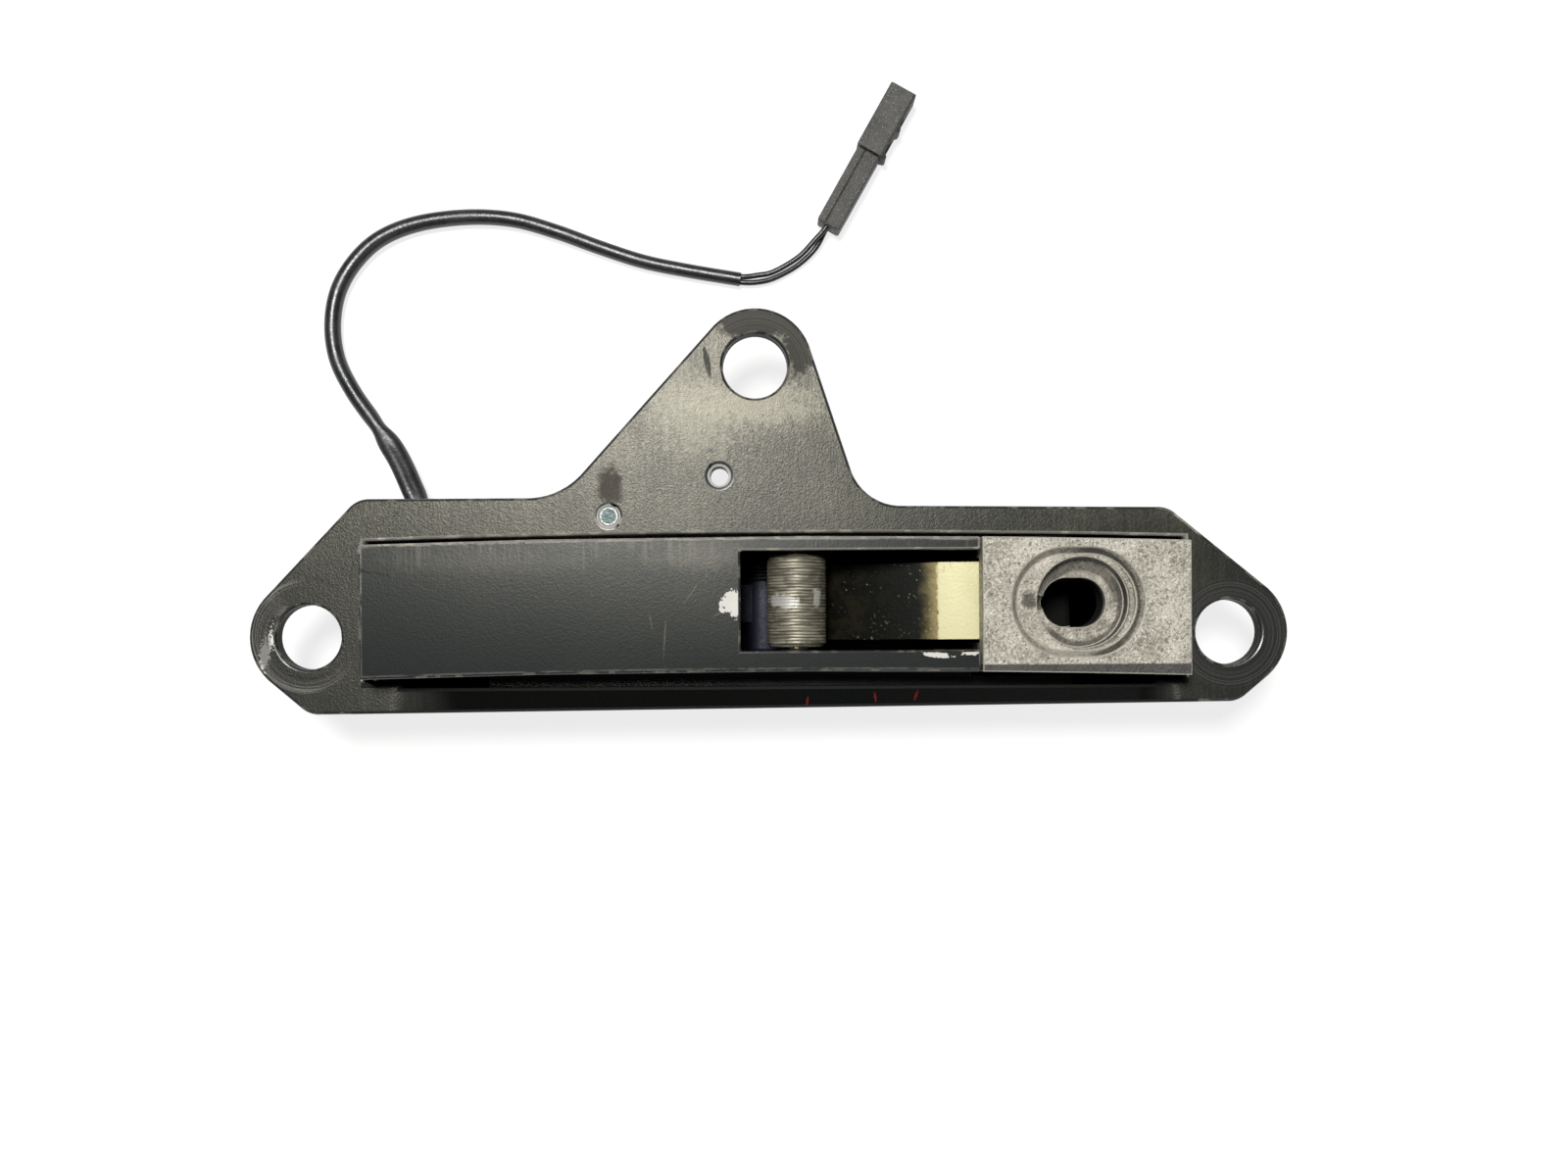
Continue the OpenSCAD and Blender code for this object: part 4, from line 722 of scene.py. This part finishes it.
# painted shade: the deep inside of the bore is coloured near black
painted_bore_shade = step(tree, pz, 0.0268, 0.0245)
tone = blend(tree, painted_bore_shade, tone, (0.001, 0.001, 0.001, 1))
tone, _ = marked(tree, tone, (0.03, 0.022, 0.016, 1), 0.75, (51.2, 6.4), (1.5, 1.7),
                 Ragged=0.5, Soft=0.3, Scale=900.0)
tree.links.new(tone, shader.inputs["Base Color"])
tree.links.new(between(tree, painted_bore_shade, between(tree, peen, 0.42, 0.7), 0.95), shader.inputs["Roughness"])
tree.links.new(between(tree, stripe, 0.35, 0.0), shader.inputs["Metallic"])
raise_surface(tree, shader, peen, 0.0003)
block_lip, tree, shader, place = material("block_lip")
tone = blend(tree, cloud(tree, place, 1500.0), (0.20, 0.19, 0.165, 1), (0.5, 0.48, 0.42, 1))
tree.links.new(tone, shader.inputs["Base Color"])
tree.links.new(between(tree, cloud(tree, place, 700.0), 0.35, 0.55), shader.inputs["Roughness"])
softened("end_block", 0.00022, blasted, block_lip, "strike_body")

# ---- Roller
# A hardened steel roller turned on a bar lathe: fine grooves run round it, its ends are
# chamfered, and it is bored for its pin. Worn brown and grey, with one bright worn patch.
ROLLER_AT = (5.7, 6.6, 23.5)
ROLLER_R, ROLLER_L, ROLLER_BORE, GROOVE_PITCH = 5.94, 18.2, 1.55, 0.62


def roller_rings(around=160):
    """Profile carried round the roller's own line: out along one end face, over a chamfer, along
    the grooved outside, over the other chamfer, in along the other face and back through the
    bore. Groove depth is a sine of even pitch whose size wanders along the roller."""
    y = np.linspace(-ROLLER_L / 2 + 0.75, ROLLER_L / 2 - 0.75, 260)
    wander = 0.75 + 0.25 * np.sin(y * 2.1 + 1)
    r = ROLLER_R - 0.045 - 0.045 * np.sin(2 * math.pi * y / GROOVE_PITCH) * wander
    end = ROLLER_L / 2
    y = np.concatenate([[-end, -end, -end], y, [end, end, end], np.linspace(end, -end, 12)[1:-1]])
    r = np.concatenate([[ROLLER_BORE, 3.4, ROLLER_R - 0.75], r, [ROLLER_R - 0.75, 3.4, ROLLER_BORE],
                        np.full(10, ROLLER_BORE)])
    a = np.linspace(0, 2 * math.pi, around, endpoint=False)[None]
    x = ROLLER_AT[0] + r[:, None] * np.sin(a)
    z = ROLLER_AT[2] + r[:, None] * np.cos(a)
    y = np.broadcast_to(ROLLER_AT[1] + y[:, None], x.shape)
    return np.stack([x / 1000, y / 1000 + EYE_LINE_Y, z / 1000], -1)


turned_steel, tree, shader, place = material("turned_steel", Specular_IOR_Level=0.5)
py = node(tree, "SeparateXYZ", {0: place}).outputs[1]
drawn = node(tree, "Mapping", {"Vector": place, "Scale": (0.12, 1, 0.12)}).outputs[0]
groove = cloud(tree, drawn, 1700.0, 2.0, 0.6)
blotch = cloud(tree, place, 420.0, 4.0, 0.6)
from_middle = calc(tree, "SUBTRACT", py, EYE_LINE_Y + ROLLER_AT[1] / 1000)
# painted shade: the groove bottoms are coloured dark, in step with the turned grooves
turns = calc(tree, "SINE", calc(tree, "MULTIPLY", from_middle, 2000 * math.pi / GROOVE_PITCH))
tone = blend(tree, step(tree, groove, 0.40, 0.60), (0.16, 0.15, 0.11, 1), (0.36, 0.34, 0.265, 1))
tone = blend(tree, calc(tree, "MULTIPLY", step(tree, turns, 0.3, 0.95), 0.8), tone, (0.03, 0.028, 0.022, 1))
tone = blend(tree, calc(tree, "MULTIPLY", step(tree, blotch, 0.48, 0.66), 0.6), tone, (0.07, 0.062, 0.048, 1))
for middle, half, turn, ragged in (((3.0, 6.5), (2.6, 1.3), 10, 0.9), ((9.6, 7.5), (0.7, 1.8), 0, 0.8)):
    tone, _ = marked(tree, tone, (0.74, 0.74, 0.71, 1), 0.6, middle, half, turn,
                     Ragged=ragged, Soft=0.25, Scale=700.0)
tree.links.new(tone, shader.inputs["Base Color"])
tree.links.new(between(tree, blotch, 0.42, 0.58), shader.inputs["Roughness"])
tree.links.new(between(tree, blotch, 0.55, 0.3), shader.inputs["Metallic"])
raise_surface(tree, shader, groove, 0.00003)
roller = skin("roller_turned", roller_rings(), turned_steel, "roller", closed=True)
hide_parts("roller")

# ---- Ejector flap
# A spring steel strip curled round its pin, yellow-passivated zinc plate: bright where it lies flat
# under the block's edge. Where it slopes down into the window it has oily mottles and is painted dark as
# shade, with painted light towards the top of the slope.
flap_plate, tree, shader, place = material("flap_plate", Specular_IOR_Level=0.15)
part = node(tree, "SeparateXYZ", {0: place})
px = part.outputs[0]
oil = cloud(tree, place, 260.0, 5.0, 0.65)
fine = cloud(tree, place, 1500.0, 3.0)
low = step(tree, px, 0.0344, 0.0332)
dirt = step(tree, calc(tree, "MULTIPLY_ADD", fine, 0.3, oil),
            between(tree, low, 0.75, 0.52), between(tree, low, 0.95, 0.70))
tone = blend(tree, oil, (0.53, 0.50, 0.285, 1), (0.60, 0.57, 0.36, 1))
tone = blend(tree, dirt, tone, (0.012, 0.010, 0.007, 1))
# painted light: the slope is made golden-brown towards its top edge and stays dark deeper in the window
painted_slope_light = step(tree, calc(tree, "MULTIPLY_ADD", oil, 0.004, px), 0.0318, 0.0372)
worn = product(tree, step(tree, oil, 0.44, 0.62), step(tree, px, 0.0290, 0.0120), 0.35)
# painted shade: the slope's colour is near black, with a few real worn patches
painted_slope_shade = blend(tree, worn, (0.0025, 0.003, 0.002, 1), (0.035, 0.028, 0.012, 1))
painted_slope_shade = blend(tree, painted_slope_light, painted_slope_shade, (0.20, 0.165, 0.075, 1))
tone = blend(tree, low, tone, painted_slope_shade)
glint = product(tree, low, step(tree, fine, 0.62, 0.7), step(tree, oil, 0.5, 0.4), 0.5)
tone = blend(tree, glint, tone, (0.30, 0.25, 0.14, 1))
tree.links.new(tone, shader.inputs["Base Color"])
tree.links.new(between(tree, low, 0.42, 0.45), shader.inputs["Roughness"])
tree.links.new(between(tree, low, 0.1, 0.5), shader.inputs["Metallic"])
raise_surface(tree, shader, fine, 0.00003)
softened("ejector_flap", 0.00012, flap_plate, flap_plate, "ejector")

# ---- Keeper, pawl, rear cover and the inner parts
# Sintered and turned steels, zinc-plated sheet, brass, moulded nylon, rubber and enamelled copper,
# mostly out of sight inside the case.
metal_grain, g_in, g_out = effect("metal_grain", {"Grain per metre": ("Float", 1500.0),
                                                  "Drawn": ("Vector", (1, 1, 1))}, ["Tone", "Height"])
g_place = node(metal_grain, "TexCoord").outputs["Object"]
g_drawn = node(metal_grain, "VectorMath", {0: g_place, 1: g_in["Drawn"]}, operation="MULTIPLY").outputs[0]
g_fine = cloud(metal_grain, g_drawn, g_in["Grain per metre"], 3.0, 0.6)
g_patch = cloud(metal_grain, g_place, 120.0, 3.0)
g_tone = calc(metal_grain, "MULTIPLY_ADD", g_patch, 0.5, calc(metal_grain, "MULTIPLY", g_fine, 0.5))
metal_grain.links.new(g_tone, g_out.inputs["Tone"])
metal_grain.links.new(g_fine, g_out.inputs["Height"])


def metal(name, dark, light, rough, grain_per_metre, drawn=(1, 1, 1), depth=0.00003, metallic=1.0):
    """Bare or plated metal: its tone runs between two colours along a grain drawn one way."""
    made, tree, shader, place = material(name, Metallic=metallic)
    grain = stamp(tree, metal_grain, Grain_per_metre=grain_per_metre, Drawn=drawn)
    tone = step(tree, grain["Tone"], 0.38, 0.62)
    tree.links.new(blend(tree, tone, (*dark, 1), (*light, 1)), shader.inputs["Base Color"])
    tree.links.new(between(tree, tone, rough * 1.2, rough * 0.85), shader.inputs["Roughness"])
    raise_surface(tree, shader, grain["Height"], depth)
    return made


zinc_sheet = metal("zinc_sheet", (0.42, 0.44, 0.46), (0.66, 0.67, 0.68), 0.36, 500.0, (1, 0.3, 1))
# painted shade: the keeper and the pawl, seen through the window, are coloured dark navy as the shade inside
# it
keeper_steel = metal("keeper_steel", (0.003, 0.005, 0.016), (0.010, 0.014, 0.036), 0.6, 2200.0,
                     depth=0.00004, metallic=0.0)
# the back cover is zinc sheet outside, and its inner face is painted black as the shade inside the case
cover_sheet = metal("cover_sheet", (0.42, 0.44, 0.46), (0.66, 0.67, 0.68), 0.36, 500.0, (1, 0.3, 1))
tree = cover_sheet.node_tree
shader = tree.nodes["Principled BSDF"]
pz = node(tree, "SeparateXYZ", {0: node(tree, "TexCoord").outputs["Object"]}).outputs[2]
painted_inner_shade = step(tree, pz, 0.0012, 0.0014)
clean = {name: shader.inputs[name].links[0].from_socket for name in ("Base Color", "Roughness")}
tone = blend(tree, painted_inner_shade, clean["Base Color"], (0.002, 0.002, 0.003, 1))
tree.links.new(tone, shader.inputs["Base Color"])
tree.links.new(between(tree, painted_inner_shade, clean["Roughness"], 0.9), shader.inputs["Roughness"])
tree.links.new(between(tree, painted_inner_shade, 1.0, 0.0), shader.inputs["Metallic"])
softened("rear_cover", 0.00015, cover_sheet, cover_sheet, "strike_body")
softened("keeper_lever", 0.00018, keeper_steel, keeper_steel, "keeper")
softened("pawl", 0.00012, keeper_steel, keeper_steel, "pawl")
rubber = plastic("black_rubber", (0.012, 0.012, 0.012, 1), (0.028, 0.028, 0.028, 1), 0.7, 2500.0, 0.00005)
softened("cable_grommet", 0.00015, rubber, rubber, "strike_body")
screw_steel = metal("screw_steel", (0.45, 0.46, 0.47), (0.66, 0.67, 0.69), 0.30, 3000.0)
ground = metal("ground_pin", (0.5, 0.5, 0.5), (0.72, 0.72, 0.73), 0.2, 2500.0, (1, 0.06, 1))
turned = metal("turned_iron", (0.42, 0.42, 0.42), (0.64, 0.64, 0.63), 0.3, 2000.0, (1, 0.06, 0.06))
brass = metal("brass_part", (0.55, 0.38, 0.13), (0.80, 0.62, 0.28), 0.3, 2400.0)
tinned = metal("tinned_part", (0.6, 0.59, 0.54), (0.82, 0.80, 0.74), 0.35, 2500.0)
black_oxide = metal("black_oxide", (0.03, 0.03, 0.032), (0.09, 0.09, 0.092), 0.4, 2500.0)
wire_steel = metal("wire_steel", (0.40, 0.40, 0.42), (0.62, 0.62, 0.64), 0.28, 4000.0)
copper = metal("copper_turns", (0.35, 0.11, 0.04), (0.70, 0.30, 0.12), 0.28, 3200.0, (0.03, 1, 1), 0.0001)
nylon = plastic("bobbin_nylon", (0.03, 0.03, 0.034, 1), (0.055, 0.055, 0.06, 1), 0.5, 2500.0, 0.00004)
tape = plastic("coil_tape", (0.50, 0.38, 0.08, 1), (0.66, 0.53, 0.16, 1), 0.25, 900.0, 0.00003)
red_lead = plastic("red_lead", (0.36, 0.02, 0.015, 1), (0.5, 0.04, 0.03, 1), 0.35, 2000.0, 0.00002)
for finish, names in (
        (screw_steel, "cover_screws plate_screws solenoid_screws"),
        (black_oxide, "block_screws rod_clip keeper_pin"), (zinc_sheet, "solenoid_frame"),
        (nylon, "coil_bobbin"), (copper, "coil_winding"), (tape, "coil_tape"),
        (turned, "fixed_core armature"), (tinned, "solder_tags contact_pins"),
        (red_lead, "inner_leads"), (ground, "pawl_pin ejector_pin roller_pin"),
        (wire_steel, "keeper_spring pawl_spring return_spring ejector_spring"),
        (rubber, "stop_buffer"), (brass, "roller_washers push_rod")):
    for name in names.split():
        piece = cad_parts[name]
        for held in piece.material_slots:
            held.material = finish
